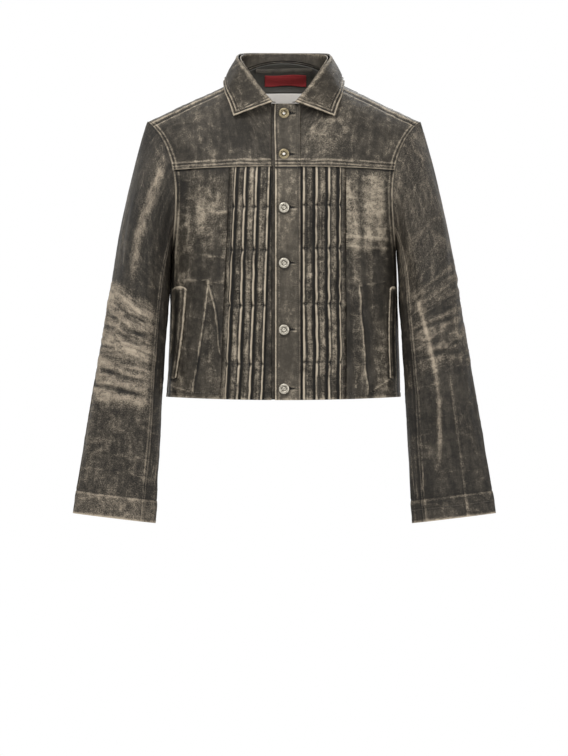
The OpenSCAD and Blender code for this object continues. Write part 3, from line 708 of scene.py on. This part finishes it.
def closing():
    """The left placket with its buttonholes, and the button band and facing under it."""
    x = np.linspace(PLACKET_X0, PLACKET_X1, 54)[None, :]
    z = np.linspace(PLACKET_TOP, HEM_Z, 420)[:, None] + 0 * x
    x = x - 1.6 * bump_at(z + 60, 40) * ease((PLACKET_X1 - 20 - x) / 20)
    # Each buttonhole's slit is dented and painted with shade.
    slit = 0 * x
    for drop in BUTTON_DROPS:
        width = 0.8 + 1.3 * clamp01((17 - x) / 7)
        slit = np.maximum(slit, clamp01(1.5 * bump_at(z + drop - 0.05 * x, width)))
    slit = slit * ease((8.5 - np.abs(x - 10.5)) / 2) * (x > 3)
    edge, far, over = x - x[:, :1], PLACKET_X1 - x, z - yoke_z(x)
    under = ease((-over - 2) / 6)
    height = (0.5 * crumple(x, z, 41) + 0.5 * seam_pull(z, edge - 5, 42) + 0.5 * seam_pull(z, far - 5, 43)
              - 0.7 * bump_at(edge - 4, 1.0) - 0.7 * bump_at(far - 4, 1.0) * under - 1.5 * slit
              + bands(over, (-0.9, 0, 1.6), (0.6, 3, 3), (-0.7, 6, 1.0)))
    # A ring of painted shade round each button cap.
    buttons = sum(bump_at(np.hypot(x, z + drop) - 9, 4) for drop in BUTTON_DROPS)
    lips = sum(bump_at(np.abs(z + drop) - 2.6, 0.8) for drop in BUTTON_DROPS) * bump_at(x - 15, 7)
    wear = (bands(edge, (1.3, 0.8, 1.3), (0.3, 6, 2)) + 0.6 * bump_at(far - 0.5, 1.3) * under + 0.7 * lips
            + 0.35 * bump_at(x - 8, 9) * ripple(x, z, 14, 40, 47) + 0.2 * creases(x, z, 12, 18, 44)
            + bands(over, (1.3, 0.8, 1.3), (0.7, 5.5, 1.6), (0.8, 11, 1.5)) + 0.6 * bump_at(z - HEM_Z, 2.5))
    shade = (slit + 0.5 * bump_at(edge - 4, 0.9) + under * bands(far, (0.5, 4, 0.9), (0.7, 0, 1.2))
             + bands(over, (0.9, -2, 1.8), (0.7, 2.9, 1.1), (0.7, 8.2, 1.3))
             + 0.35 * buttons + 0.22 * (1 - under))
    sheet_piece("left_placket", skin(x, z, -PLACKET_LIFT - height, FRONT),
                skin(x, z, LEATHER_T - PLACKET_LIFT - np.minimum(height, 0), FRONT),
                PLACKET_HIDE, marks=worn_and_dark(wear, shade))
    band = panel_xz(PLACKET_TOP, HEM_Z + 1, BAND_X0, BAND_X1, spaced(22), spaced(160))
    body_piece("right_button_band", band, FRONT, 1.3, 1.1, PLEAT_HIDE)
    body_piece("right_front_facing", band, FRONT, 2.9, 0.8, SATIN)


def linings():
    low = float(hem_z(HEM_W)) + 25
    for mirror in (False, True):
        xz = panel_xz(lambda x: front_neck_z(x) - 0.4, low, centre_edge(mirror),
                      arm_edge(TIP_Z, low, FRONT), spaced(60, -1.25), spaced(60, 1.35))
        body_piece(side_name(mirror) + "_front_lining", xz, FRONT, LINING_OFF, LINING_T,
                   COTTON, lambda x, z: 0.5 * ripple(x, z, 30, 60, 51), mirror=mirror)
    xz = panel_xz(lambda x: np.minimum(FACING_LOW, shoulder_z(x)) - 0.4, low, arm_edge(TIP_Z, low, BACK, -1),
                  arm_edge(TIP_Z, low, BACK), spaced(110, both=True), spaced(70, 1.35))
    body_piece("back_lining", xz, BACK, LINING_OFF, LINING_T, COTTON,
               lambda x, z: 0.8 * ripple(x, z, 22, 50, 52))
    xz = panel_xz(lambda x: back_neck_z(x) - 0.4, FACING_LOW, -96, 96, spaced(120), spaced(30))
    body_piece("neck_facing", xz, BACK, LINING_OFF, LINING_T, SATIN,
               lambda x, z: 0.6 * ripple(x, z, 20, 24, 53) * ease((16 - z) / 8) - 0.5 * bump_at(z + 6, 1.5))
    xz = panel_xz(lambda x: 23.5 + 0.8 * np.sin(x / 11), lambda x: 4.5 + 0.9 * np.sin(x / 9 + 1), -32, 37,
                  spaced(60), spaced(18))
    body_piece("neck_label", xz, BACK, LINING_OFF + LINING_T + 1.2, 0.5, LABEL_WEAVE,
               lambda x, z: -0.9 * ripple(x, z, 16, 26, 54) + 0.25 * bump_at(z - 21, 1.2))

    def ring(z, off):
        """One turn round the hem, from the placket over the back to the button band."""
        t, w = spaced(70, both=True), float(half_w(np.array(z)))
        return np.concatenate([skin(lerp(start, stop, t), z + 0 * t, off, side) for side, start, stop in
                               ((FRONT, PLACKET_X1 + 1, w), (BACK, w, -w), (FRONT, -w, BAND_X0 - 0.4))])

    outer, inner = [np.stack([ring(z, off) for z in np.linspace(low - 0.5, HEM_Z + 5.5, 9)])
                    for off in (LINING_OFF, LINING_OFF + LINING_T)]
    sheet_piece("hem_facing", outer, inner, INNER_HIDE)


def pockets():
    for mirror, x_top, x_low, w_top, w_low in ((False, 173.5, 173.5, 11, 11), (True, 166, 178, 24, 14)):
        x, z = panel_xz(-322, -470, lambda v: lerp(x_top - w_top / 2, x_low - w_low / 2, v),
                        lambda v: lerp(x_top + w_top / 2, x_low + w_low / 2, v), spaced(14), spaced(80))
        rise = spaced(14)[None, :] + 0 * z
        height = (1.1 * np.sin(np.pi * clamp01(rise * 0.85 + 0.08)) + 0.3 * ripple(x, z, 7, 16, 61)
                  - 0.8 * bump_at(rise - 0.82, 0.07) + 0.5 * bump_at(z + 324, 3))
        corner = np.abs(2 * rise - 1) ** 2.5
        z = z - 6 * corner * ease((z + 345) / 20) + 3 * corner * ease((-450 - z) / 15)
        x = x - 2.2 * np.sin(np.pi * clamp01((z + 470) / 148))
        wear = (bands(rise, (1.3, 0.06, 0.06), (1.0, 0.97, 0.05), (0.5, 0.35, 0.05))
                + 0.9 * bump_at(z + 324, 2.5) + 0.35 * bump_at(z + 468, 2))
        sheet_piece(side_name(mirror) + "_pocket_welt", skin(x, z, -1.4 - height, FRONT),
                    skin(x, z, -0.9, FRONT), BODY_HIDE, mirror=mirror,
                    marks={"wear": wear, "shade": 0.85 * bump_at(rise - 0.62, 0.2) * ease((-328 - z) / 6)})
        bag = panel_xz(-318, -484, lambda v: lerp(119, 147, v), lambda v: lerp(168, 180, v),
                       spaced(24), spaced(40))
        body_piece(side_name(mirror) + "_pocket_bag", bag, FRONT, LEATHER_T + 1.35, 0.8,
                   COTTON, mirror=mirror)


# ---- Collar ----
ROLL_LINE = [(0, 60, 56), (38, 56, 56), (64, 32, 54), (70, -4, 47), (60, -38, 30), (40, -66, 0), (18, -88, -30)]
LEAF_EDGE = [(0, 75, 0), (50, 69, 0), (89, 39, 2), (97, -2, 7), (94, -54, -13), (87, -73, -32), (81, -85, -51)]
LEAF_START = 4.4


def spline(points, t):
    """A smooth curve through points that are evenly spaced over t from 0 to 1."""
    points = np.array(points, float)
    last = len(points) - 1
    k = np.minimum(last - 1, np.floor(t * last)).astype(int)
    u = (t * last - k)[..., None]
    a, b = points[np.maximum(0, k - 1)], points[k]
    c, d = points[k + 1], points[np.minimum(last, k + 2)]
    return b + 0.5 * u * ((c - a) + u * ((2 * a - 5 * b + 4 * c - d) + u * (3 * (b - c) + d - a)))


def neck_point(t):
    """The neck's edge, from the middle of the back at 0 to the front at 1."""
    back_x = NECK_W * np.sin(np.pi * t)
    front_x = NECK_W * np.cos(np.radians(160 * (t - 0.5)))
    back = skin(back_x, back_neck_z(back_x), 0, BACK)
    front = skin(front_x, front_neck_z(front_x), 0, FRONT)
    return np.where((t <= 0.5)[..., None], back, front)


def grid_normals(grid):
    down, across = np.gradient(grid, axis=0), np.gradient(grid, axis=1)
    normal = np.cross(across, down)
    return normal / np.maximum(np.linalg.norm(normal, axis=-1, keepdims=True), 1e-9)


def collar():
    t = np.linspace(-1, 1, 161)
    side = np.where(t < 0, -1, 1)[:, None] * np.array([[1, 0, 0]]) + np.array([[0, 1, 1]])
    roll, edge = spline(ROLL_LINE, np.abs(t)), spline(LEAF_EDGE, np.abs(t))
    rows = np.linspace(0, 1, 20)[:, None, None]
    stand = lerp(neck_point(np.abs(t)) + np.array([0, 0, 0.6]), roll, rows * 0.97) * side
    sheet_piece("collar_stand", stand, stand + 1.2 * grid_normals(stand), COLLAR_HIDE,
                marks={"wear": 0.5 * bump_at(rows[..., 0] - 1, 0.15)})
    out = roll + np.array([0, 5, 0])
    out[:, 2] = 0
    out /= np.linalg.norm(out, axis=-1, keepdims=True)
    rows = np.linspace(0, 1, 56)[:, None, None]
    bulge = 3 * np.sin(np.pi * rows) + bands(rows, (2.2, 0, 0.10), (-1.6, 0, 0.04))
    leaf = (lerp(roll + LEAF_START * out + np.array([0, 0, 1.5]), edge, rows) + out * bulge) * side
    drop = np.linalg.norm(leaf - leaf[-1:], axis=-1)
    ends = np.minimum(np.linalg.norm(leaf - leaf[:, :1], axis=-1), np.linalg.norm(leaf - leaf[:, -1:], axis=-1))
    nearest, arc = np.minimum(drop, ends), t[None, :] * 300 + 0 * drop
    height = 0.6 * crumple(arc, drop, 71) + bands(nearest, (1.3, 1.8, 1.6), (-0.9, 4.6, 1.0), (1.1, 7.2, 1.7),
                                                  (-0.9, 10.2, 1.0))
    wear = (bands(nearest, (1.1, 1.2, 1.4), (0.75, 7.2, 1.3), (0.3, 12, 1.2))
            + 0.5 * bump_at(rows[..., 0] - 0.03, 0.07) + 0.25 * creases(arc, drop, 24, 18, 72)
            + 0.08 * ease((np.abs(t)[None, :] - 0.35) / 0.1))
    normal = grid_normals(leaf)
    sheet_piece("upper_collar", leaf + normal * (height[..., None] - 0.2), leaf - normal * 1.2,
                COLLAR_HIDE, flip=True,
                marks={"wear": wear, "shade": bands(nearest, (0.85, 4.6, 1.1), (0.7, 10.2, 1.0))})
    sheet_piece("under_collar", leaf - normal * 1.5, leaf - normal * 2.6, INNER_HIDE,
                flip=True)


# ---- Sleeves: v runs from 0 at the armhole to 1 at the cuff ----
def outer_edge(v):
    z = TIP_Z - SLEEVE_DROP * v
    return np.stack([SHOULDER_W + 14.8 + 0.1667 * (TIP_Z - z) - 15 * np.exp((z - TIP_Z) / 35), z], -1)


def inner_edge(v):
    z = TIP_Z - SLEEVE_DROP * v - 16 - 189 * np.maximum(0, 1 - v / 0.76) ** 2
    return np.stack([UNDERARM_W + 0.4 + 0.0594 * (UNDERARM_Z - z), z], -1)


def girth(v):
    return 58 + 8 * ease(v / 0.15) - 20 * ease((v - 0.2) / 0.45) - (46 - CUFF_HALF) * ease((v - 0.5) / 0.5)


def lean(v):
    return -SLEEVE_LEAN * ease(v / 0.75)


def armhole_point(a):
    z = lerp(TIP_Z, UNDERARM_Z, (1 - np.cos(a)) / 2)
    front = skin(armhole_x(z, FRONT), z, 0, FRONT)
    back = skin(armhole_x(z, BACK), z, 0, BACK)
    return np.where((np.sin(a) > 0)[..., None], front, back) + np.array([0.3, 0, -0.06])


def sleeve_point(v, degrees, off):
    """A point of the wearer's left sleeve; degrees run from the outer edge through the front."""
    a, v = np.broadcast_arrays(np.radians(degrees), v)
    middle, half = (outer_edge(v) + inner_edge(v)) / 2, (outer_edge(v) - inner_edge(v)) / 2
    free = np.stack([middle[..., 0] + half[..., 0] * np.cos(a), lean(v) - girth(v) * np.sin(a),
                     middle[..., 1] + half[..., 1] * np.cos(a)], -1)
    p = lerp(armhole_point(a), free, ease(v / 0.3)[..., None])
    inward = np.stack([middle[..., 0], lean(v), middle[..., 1]], -1) - p
    inward /= np.linalg.norm(inward, axis=-1, keepdims=True)
    return p + inward * np.asarray(off)[..., None]


def elbow_folds(v, degrees, sign):
    """Creases that run across the front of the elbow, -1 to 1, and how strong they are there."""
    down, round_arm = v * ARM_LENGTH, degrees * MM_PER_DEGREE
    bend = 7 * ripple(round_arm, down, 45, 60, 85 + sign) + 0.03 * (round_arm - 95) * sign
    lines = (0.5 * ripple(down + bend, round_arm, 8.5, 90, 86 + sign)
             + 0.3 * ripple(down - bend, round_arm, 4.6, 50, 87 + sign)
             + 0.2 * ripple(down + 0.5 * bend, round_arm, 2.4, 26, 88 + sign))
    start, stop = (0.35, 0.60) if sign > 0 else (0.388, 0.69)
    band = ease((v - start) / 0.025) * (1 - ease((v - stop) / 0.04))
    turned = np.where(degrees < 240, degrees, degrees - 360)
    return lines, band * ease((turned + 14) / 22) * (1 - ease((turned - 116) / 24))


def sleeve_relief(v, degrees, sign):
    """Long drape folds down the upper arm, then creases across the front of the elbow."""
    down, round_arm = v * ARM_LENGTH, degrees * MM_PER_DEGREE
    cap = ease(v / 0.06)
    drape = (2.8 * ripple(round_arm + down * 0.12 * sign, down, 26, 210, 81 + sign)
             + 1.3 * ripple(round_arm - down * 0.2, down, 13, 90, 83 + sign)) * cap
    drape = drape * (1 - 0.55 * ease((v - 0.38) / 0.08))
    lines, strength = elbow_folds(v, degrees, sign)
    forearm = 1.4 * ripple(round_arm, down, 26, 120, 89 + sign) * ease((v - 0.6) / 0.1)
    seams = bands(degrees, (-1.1, SEAM_FRONT, 1.4), (-1.1, SEAM_BACK, 1.4), (0.8, SEAM_FRONT - 5, 4))
    total = (drape + 1.5 * lines * strength + forearm + seams
             + 0.55 * crumple(round_arm, down, 91 + sign) * cap + seam_pull(round_arm, down, 93 + sign, 14)
             + bands(down, (-0.7, 0, 2), (0.9, 7, 5))
             + bands(v * SLEEVE_DROP - CUFF_ROW, (-0.8, 0, 1.3), (0.5, 10, 7)))
    return np.clip(total, -3.0, 4.5)


def sleeve_marks(v, degrees, sign):
    """Rubbed creases, seams and cuffs, with painted shade; the wearer's right elbow and cuff are the more worn.
    The wear mark also carries painted highlights: a sheen line down the left sleeve and a diagonal highlight
    over the upper right sleeve.
    """
    down, round_arm = v * ARM_LENGTH, degrees * MM_PER_DEGREE
    lines, strength = elbow_folds(v, degrees, sign)
    at_elbow, between, at_cuff, forearm, upper = ((0.72, 0.34, 0.12, 0.0, 0.24) if sign > 0
                                                  else (1.0, 0.60, 0.38, 0.2, 0.05))
    cuff = ease((v - 0.943) / 0.006)
    strip = ease((degrees - 124) / 8) * (1 - ease((degrees - 195) / 15)) * ease((v - 0.5) / 0.1)
    wear = (at_elbow * strength * (between + 0.6 * lines) + 0.25 * creases(round_arm, down, 31, 24, 94 + sign)
            + bands(down, (1.1, 2.4, 1.4), (0.8, 10, 1.3)) + bands(v, (0.9, 1, 0.004), (0.4, 0.945, 0.003))
            + bands(degrees, (0.6, SEAM_FRONT - 3, 1.4), (0.4, SEAM_FRONT - 9, 1.2))
            + at_cuff * cuff + forearm * ease((v - 0.68) / 0.05) * (1 - cuff))
    wear = wear + upper * ease(v / 0.04) * (1 - ease((v - 0.3) / 0.12))
    wear = wear + strip * 0.5 * creases(round_arm, down, 5, 160, 97 + sign)
    if sign > 0:
        # Painted highlight: a sheen line down the front of the left sleeve, added to the wear mark.
        painted_sheen_line = bump_at(degrees - 108 - 14 * np.sin(v * 7), 4)
        wear = wear + 0.65 * painted_sheen_line * ease((v - 0.34) / 0.1) * (1 - ease((v - 0.8) / 0.12))
        wear = wear + 0.5 * bump_at(degrees - 70, 1.6) * ease((v - 0.62) / 0.05)
    else:
        # Painted highlight: a lighter diagonal band over the upper right sleeve, added to the wear mark.
        patch = bump_at(degrees - 60 - 40 * v, 9)
        wear = wear + 0.55 * patch * ease((v - 0.06) / 0.08) * (1 - ease((v - 0.3) / 0.1))
    shade = (bands(down, (0.75, 0, 1.6), (0.6, 6.5, 1.6), (0.3, 18, 7))
             + 0.6 * bump_at(degrees - SEAM_FRONT, 1.2)
             + 0.5 * bump_at(v * SLEEVE_DROP - CUFF_ROW, 1.0) + 0.45 * strength * clamp01(-1.6 * lines - 0.15)
             + 0.35 * strip)
    return worn_and_dark(np.maximum(wear, 0), shade)


SPLIT = 0.47


def sleeve_blend(piece):
    """Bakes the piece's placement into its points; the piece is not attached to the arm."""
    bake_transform(piece)


def sleeve_tube(name, mirror, v0, v1, rows, cols, off, thick, material, nodes=None):
    """A tube of the sleeve; those that replace two nodes are the leather, with relief and marks."""
    sign = -1 if mirror else 1
    v, degrees = np.linspace(v0, v1, rows)[:, None], np.linspace(0.2, 359.8, cols)[None, :] - 120
    shown = np.where(degrees < 0, degrees + 360, degrees)
    height = sleeve_relief(v, shown, sign) if nodes else 0 * (v + degrees)
    outer = sleeve_point(v, degrees, off - height)
    inner = sleeve_point(v, degrees, off + thick - np.minimum(height, 1))
    piece = sheet_piece(name, outer, inner, material, body=None, nodes=nodes, flip=True, mirror=mirror,
                        marks=sleeve_marks(v, shown, sign) if nodes else None, crisp=True)
    sleeve_blend(piece)


def sleeves():
    for mirror in (False, True):
        side = side_name(mirror)
        sleeve_tube(side + "_upper_sleeve", mirror, 0, SPLIT, 180, 150, 0, LEATHER_T,
                    SLEEVE_HIDE, [side + "_top_sleeve", side + "_under_sleeve"])
        sleeve_tube(side + "_lower_sleeve", mirror, SPLIT, 1, 210, 150, 0, LEATHER_T,
                    SLEEVE_HIDE, [side + "_top_forearm", side + "_under_forearm"])
        for name, part, v0, v1, rows, cols, off, slot, material in (
                ("_sleeve_lining", "upper", 0.01, SPLIT, 30, 60, 5.5, "lining_cotton", COTTON),
                ("_forearm_lining", "lower", SPLIT, 0.954, 30, 60, 5.5, "lining_cotton", COTTON),
                ("_cuff_facing", "lower", 0.955, 0.999, 6, 90, 3.4, "inner_leather", INNER_HIDE)):
            sleeve_tube(side + name, mirror, v0, v1, rows, cols, off, LINING_T, material)


# ---- Hang loop and buttons ----
def hang_loop():
    """A braided strip, bowed out from the facing between its two ends."""
    low, high = [np.array(corner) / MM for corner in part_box("hang_loop")]
    us, vs = np.linspace(-1, 1, 240)[None, :], np.linspace(0, 1, 14)[:, None]
    x = us * (high[0] - low[0]) / 2 + 0 * vs
    z = high[2] - vs * (high[2] - low[2]) + 0.5 * np.sin(x / 17)
    braid = np.abs(np.sin(x * 1.1 + np.abs(z - 27.5) * 0.9))
    roll = 0.7 * np.sin(np.pi * vs) + 0.45 * braid
    face_y = high[1] - (high[1] - low[1] - 1.4) * (1 - us ** 2) - 1.0 + 0 * z
    sheet_piece("hang_loop_strip", np.stack([x, face_y - roll, z], -1), np.stack([x, face_y + 0.6, z], -1),
                INNER_HIDE, body="loop", nodes=["hang_loop"],
                marks={"wear": 0.9 * braid ** 3, "shade": 0.1 + 0.7 * (1 - braid)})


# Radius, depth under the highest point, and darkness, for a cap 17 mm across
CAP_WIDTH = 17.0
CAP_PROFILE = [(0, 3.3, 0), (0.8, 3.25, 0.2), (1.1, 3.0, 0.8), (1.5, 3.3, 0), (2.5, 3.5, 0), (3.0, 3.1, 0.1),
               (3.3, 2.5, 1), (3.9, 2.45, 1), (4.3, 3.0, 0.2), (5.2, 3.3, 0), (5.9, 3.15, 0.25), (6.4, 3.3, 0),
               (7.3, 3.3, 0), (7.9, 2.9, 0), (8.4, 2.2, 0.2), (8.5, 1.4, 0.5), (8.3, 0.5, 0.9), (7.2, 0.05, 1),
               (0, 0.05, 1)]


def button_cap(number):
    """A pressed cap: a rolled rim, a dark groove with fine beads, and a centre with a small dimple."""
    low, high = [np.array(corner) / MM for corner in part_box(f"button_cap_{number}")]
    centre, around = (low + high) / 2, 64
    turn = np.arange(around) / around * 2 * np.pi
    scale = (high[0] - low[0]) / CAP_WIDTH
    verts, shades = [(centre[0], high[1] - CAP_PROFILE[0][1], centre[2])], [0.0]
    for r, tall, dark in CAP_PROFILE[1:-1]:
        for a, bead in zip(turn, 0.2 * np.cos(turn * 18) * (5.0 < r < 6.0)):
            verts.append((centre[0] + scale * r * np.cos(a), high[1] - tall - bead,
                          centre[2] + scale * r * np.sin(a)))
            shades.append(dark + (0.45 if bead < 0 else 0))
    verts.append((centre[0], high[1] - CAP_PROFILE[-1][1], centre[2]))
    shades.append(1.0)
    faces, rings, last = [], len(CAP_PROFILE) - 2, len(verts) - 1
    for k in range(around):
        n = (k + 1) % around
        faces.append((0, 1 + k, 1 + n))
        for start in range(1, 1 + (rings - 1) * around, around):
            faces.append((start + k, start + around + k, start + around + n, start + n))
        faces.append((1 + (rings - 1) * around + k, last, 1 + (rings - 1) * around + n))
    piece = new_piece(f"cap_{number}", verts, faces, CAP_BRASS if number < 3 else CAP_METAL,
                      [f"button_cap_{number}"])
    set_mark(piece.data, "shade", shades)
    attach(piece, f"button_{number}")


def metal_parts():
    for number in range(1, len(BUTTON_DROPS) + 1):
        button_cap(number)
    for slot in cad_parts["button_tacks"].material_slots:
        slot.material = TACK_METAL


# ---- Stitching ----
def stitch_rows(name, lines, pitch=3.2, length=2.3, radius=0.42):
    """Short raised threads along lines, each a list of points with their outward directions."""
    verts, faces = [], []
    for points, normals in lines:
        gaps = np.linalg.norm(np.diff(points, axis=0), axis=-1)
        along = np.concatenate([[0], np.cumsum(gaps)])
        count = max(1, int(along[-1] / pitch))
        middles = (np.arange(count) + 0.5) * along[-1] / count
        starts, ends, up = [np.stack([np.interp(at, along, values[:, k]) for k in range(3)], -1)
                            for at, values in ((middles - length / 2, points), (middles + length / 2, points),
                                               (middles, normals))]
        forward = ends - starts
        forward /= np.maximum(np.linalg.norm(forward, axis=-1, keepdims=True), 1e-9)
        up /= np.linalg.norm(up, axis=-1, keepdims=True)
        for s, e, u, w in zip(starts, ends, up, np.cross(forward, up)):
            base = len(verts)
            verts.append(s - 0.3 * radius * u)
            for share in (0.28, 0.72):
                centre = lerp(s, e, share) + 0.35 * radius * u
                verts += [centre + radius * u, centre + radius * w, centre - radius * u, centre - radius * w]
            verts.append(e - 0.3 * radius * u)
            for k in range(4):
                n = (k + 1) % 4
                faces += [(base, base + 1 + n, base + 1 + k),
                          (base + 1 + k, base + 1 + n, base + 5 + n, base + 5 + k),
                          (base + 9, base + 5 + k, base + 5 + n)]
    piece = new_piece(name, verts, faces, THREAD)
    set_cut(piece.data, np.array(verts)[:, [0, 2]] / 100)
    return piece


def body_line(x, z, side, lift):
    x, z = np.broadcast_arrays(np.asarray(x, float), np.asarray(z, float))
    high, low = skin(x, z, -lift, side), skin(x, z, 6 - lift, side)
    return high, high - low


def body_stitching():
    lines = []
    for gap in (5.5, 11):
        for xs in (np.linspace(-172, -21, 90), np.linspace(27, 172, 90)):
            lines.append(body_line(xs, yoke_z(xs) + gap, FRONT, 0.35))
        xs = np.linspace(-168, 168, 150)
        lines.append(body_line(xs, back_yoke_z(xs) + gap, BACK, 0.35))
    zs = np.linspace(-36, HEM_Z + 4, 180)
    for x in (PLACKET_X0 + 4.5, PLACKET_X1 - 4.5):
        xs = x + 0 * zs - 1.6 * bump_at(zs + 60, 40) * (x < 0)
        lines.append(body_line(xs, zs, FRONT, PLACKET_LIFT + 0.3))
    turn = np.linspace(-1.6, 1.6, 40)
    for drop in BUTTON_DROPS:
        lines.append(body_line(10.5 + 8.0 * np.cos(turn), 2.2 * np.sin(turn) - drop, FRONT,
                               PLACKET_LIFT + 0.2))
    zs = np.linspace(-140, HEM_Z + 4, 130)
    for folds, sign in ((LEFT_FOLDS, 1), (RIGHT_FOLDS, -1)):
        for top, low in folds:
            lines.append(body_line(sign * (lerp(top, low, (zs + 132) / (HEM_Z + 132)) + 4.2), zs, FRONT, 2.0))
    for x0, x1, count, side in ((-172, -104, 60, FRONT), (101, 172, 60, FRONT), (-178, 178, 150, BACK)):
        xs = np.linspace(x0, x1, count)
        lines.append(body_line(xs, hem_z(xs) + 9, side, 0.3))
    share = np.linspace(0.02, 0.98, 100)
    for sign in (-1, 1):
        zs = lerp(back_yoke_z(80.0), HEM_Z + 6, share)
        lines.append(body_line(sign * (back_seam_x(share) + 7), zs, BACK, 0.3))
        xs = sign * np.linspace(98, 212, 60)
        lines.append(body_line(xs, crown_z(xs, FRONT) - 9, FRONT, 0.3))
    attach(stitch_rows("body_stitching", lines), "torso")


def sleeve_line(v, degrees, sign):
    shown = np.where(degrees < 0, degrees + 360, degrees)
    high = sleeve_point(v, degrees, -0.4 - sleeve_relief(v, shown, sign))
    return high, high - sleeve_point(v, degrees, 6.0)


def sleeve_stitching():
    turn = np.linspace(-119, 239, 260)
    for mirror in (False, True):
        sign = -1 if mirror else 1
        for part, v0, v1, rings in (("upper", 0.02, SPLIT, (0.0085, 0.017)), ("lower", SPLIT, 0.965, (0.968,))):
            vs = np.linspace(v0, v1, 120)
            lines = [sleeve_line(vs, angle + 0 * vs, sign) for angle in (SEAM_FRONT - 5, SEAM_BACK + 5)]
            lines += [sleeve_line(v + 0 * turn, turn, sign) for v in rings]
            if mirror:
                lines = [(points * MIRROR, normals * MIRROR) for points, normals in lines]
            piece = stitch_rows(f"{side_name(mirror)}_{part}_sleeve_stitching", lines)
            sleeve_blend(piece)


# ---- Stage ----
def studio():
    """A pale floor disc, soft white surroundings, three lamps and a distant camera."""
    scene = bpy.context.scene
    scene.view_settings.view_transform = "Standard"
    bpy.ops.mesh.primitive_cylinder_add(vertices=96, radius=1.15, depth=0.01, location=(0, 0, -1.165))
    floor = bpy.context.object
    floor.name = "floor"
    pale, tree, bsdf = shader("pale floor")
    feed(tree, bsdf, {"Base Color": (0.8, 0.8, 0.8, 1), "Roughness": 0.9})
    floor.data.materials.append(pale)
    scene.world = bpy.data.worlds.new("studio")
    scene.world.use_nodes = True
    tree = scene.world.node_tree
    soft, bright = tree.nodes["Background"], tree.nodes.new("ShaderNodeBackground")
    feed(tree, soft, {0: (1, 1, 1, 1), 1: 0.40})
    feed(tree, bright, {0: (1, 1, 1, 1), 1: 1.0})
    path, mix = tree.nodes.new("ShaderNodeLightPath").outputs, tree.nodes.new("ShaderNodeMixShader")
    seen = math_node(tree, "MAXIMUM", path["Is Camera Ray"], path["Is Glossy Ray"])
    seen = math_node(tree, "MAXIMUM", seen, path["Is Transmission Ray"])
    feed(tree, mix, {0: seen, 1: soft.outputs[0], 2: bright.outputs[0]})
    feed(tree, tree.nodes["World Output"], {0: mix.outputs[0]})
    for name, place, size, power in (("key", (-1.0, -2.0, 2.1), 0.8, 66), ("fill", (2.0, -2.8, 0.3), 1.2, 30),
                                     ("rim", (0.4, 2.2, 1.6), 1.4, 46)):
        lamp = bpy.data.lights.new(name, "AREA")
        lamp.size, lamp.energy = size, power
        light = bpy.data.objects.new(name, lamp)
        scene.collection.objects.link(light)
        light.location = place
        aim = np.array([0, 0, -0.35]) - np.array(place)
        light.rotation_euler = (math.atan2(math.hypot(aim[0], aim[1]), -aim[2]), 0,
                                math.atan2(aim[1], aim[0]) - math.pi / 2)
    camera_data = bpy.data.cameras.new("camera")
    camera = bpy.data.objects.new("camera", camera_data)
    scene.collection.objects.link(camera)
    distance, view_height, aim_y, aim_z = 9.0, 1.2096, -0.05, -0.4688
    camera_data.sensor_fit, camera_data.sensor_height = "VERTICAL", 36
    camera_data.lens = camera_data.sensor_height * distance / view_height
    camera_data.clip_end = 100
    camera.location = (0, aim_y - distance, aim_z)
    camera.rotation_euler = (math.pi / 2, 0, 0)
    scene.camera = camera


studio()
for mirrored in (False, True):
    front_yoke(mirrored)
    front_panel(mirrored)
    pleat_panel(mirrored)
back_pieces()
closing()
linings()
pockets()
collar()
sleeves()
hang_loop()
metal_parts()
body_stitching()
sleeve_stitching()
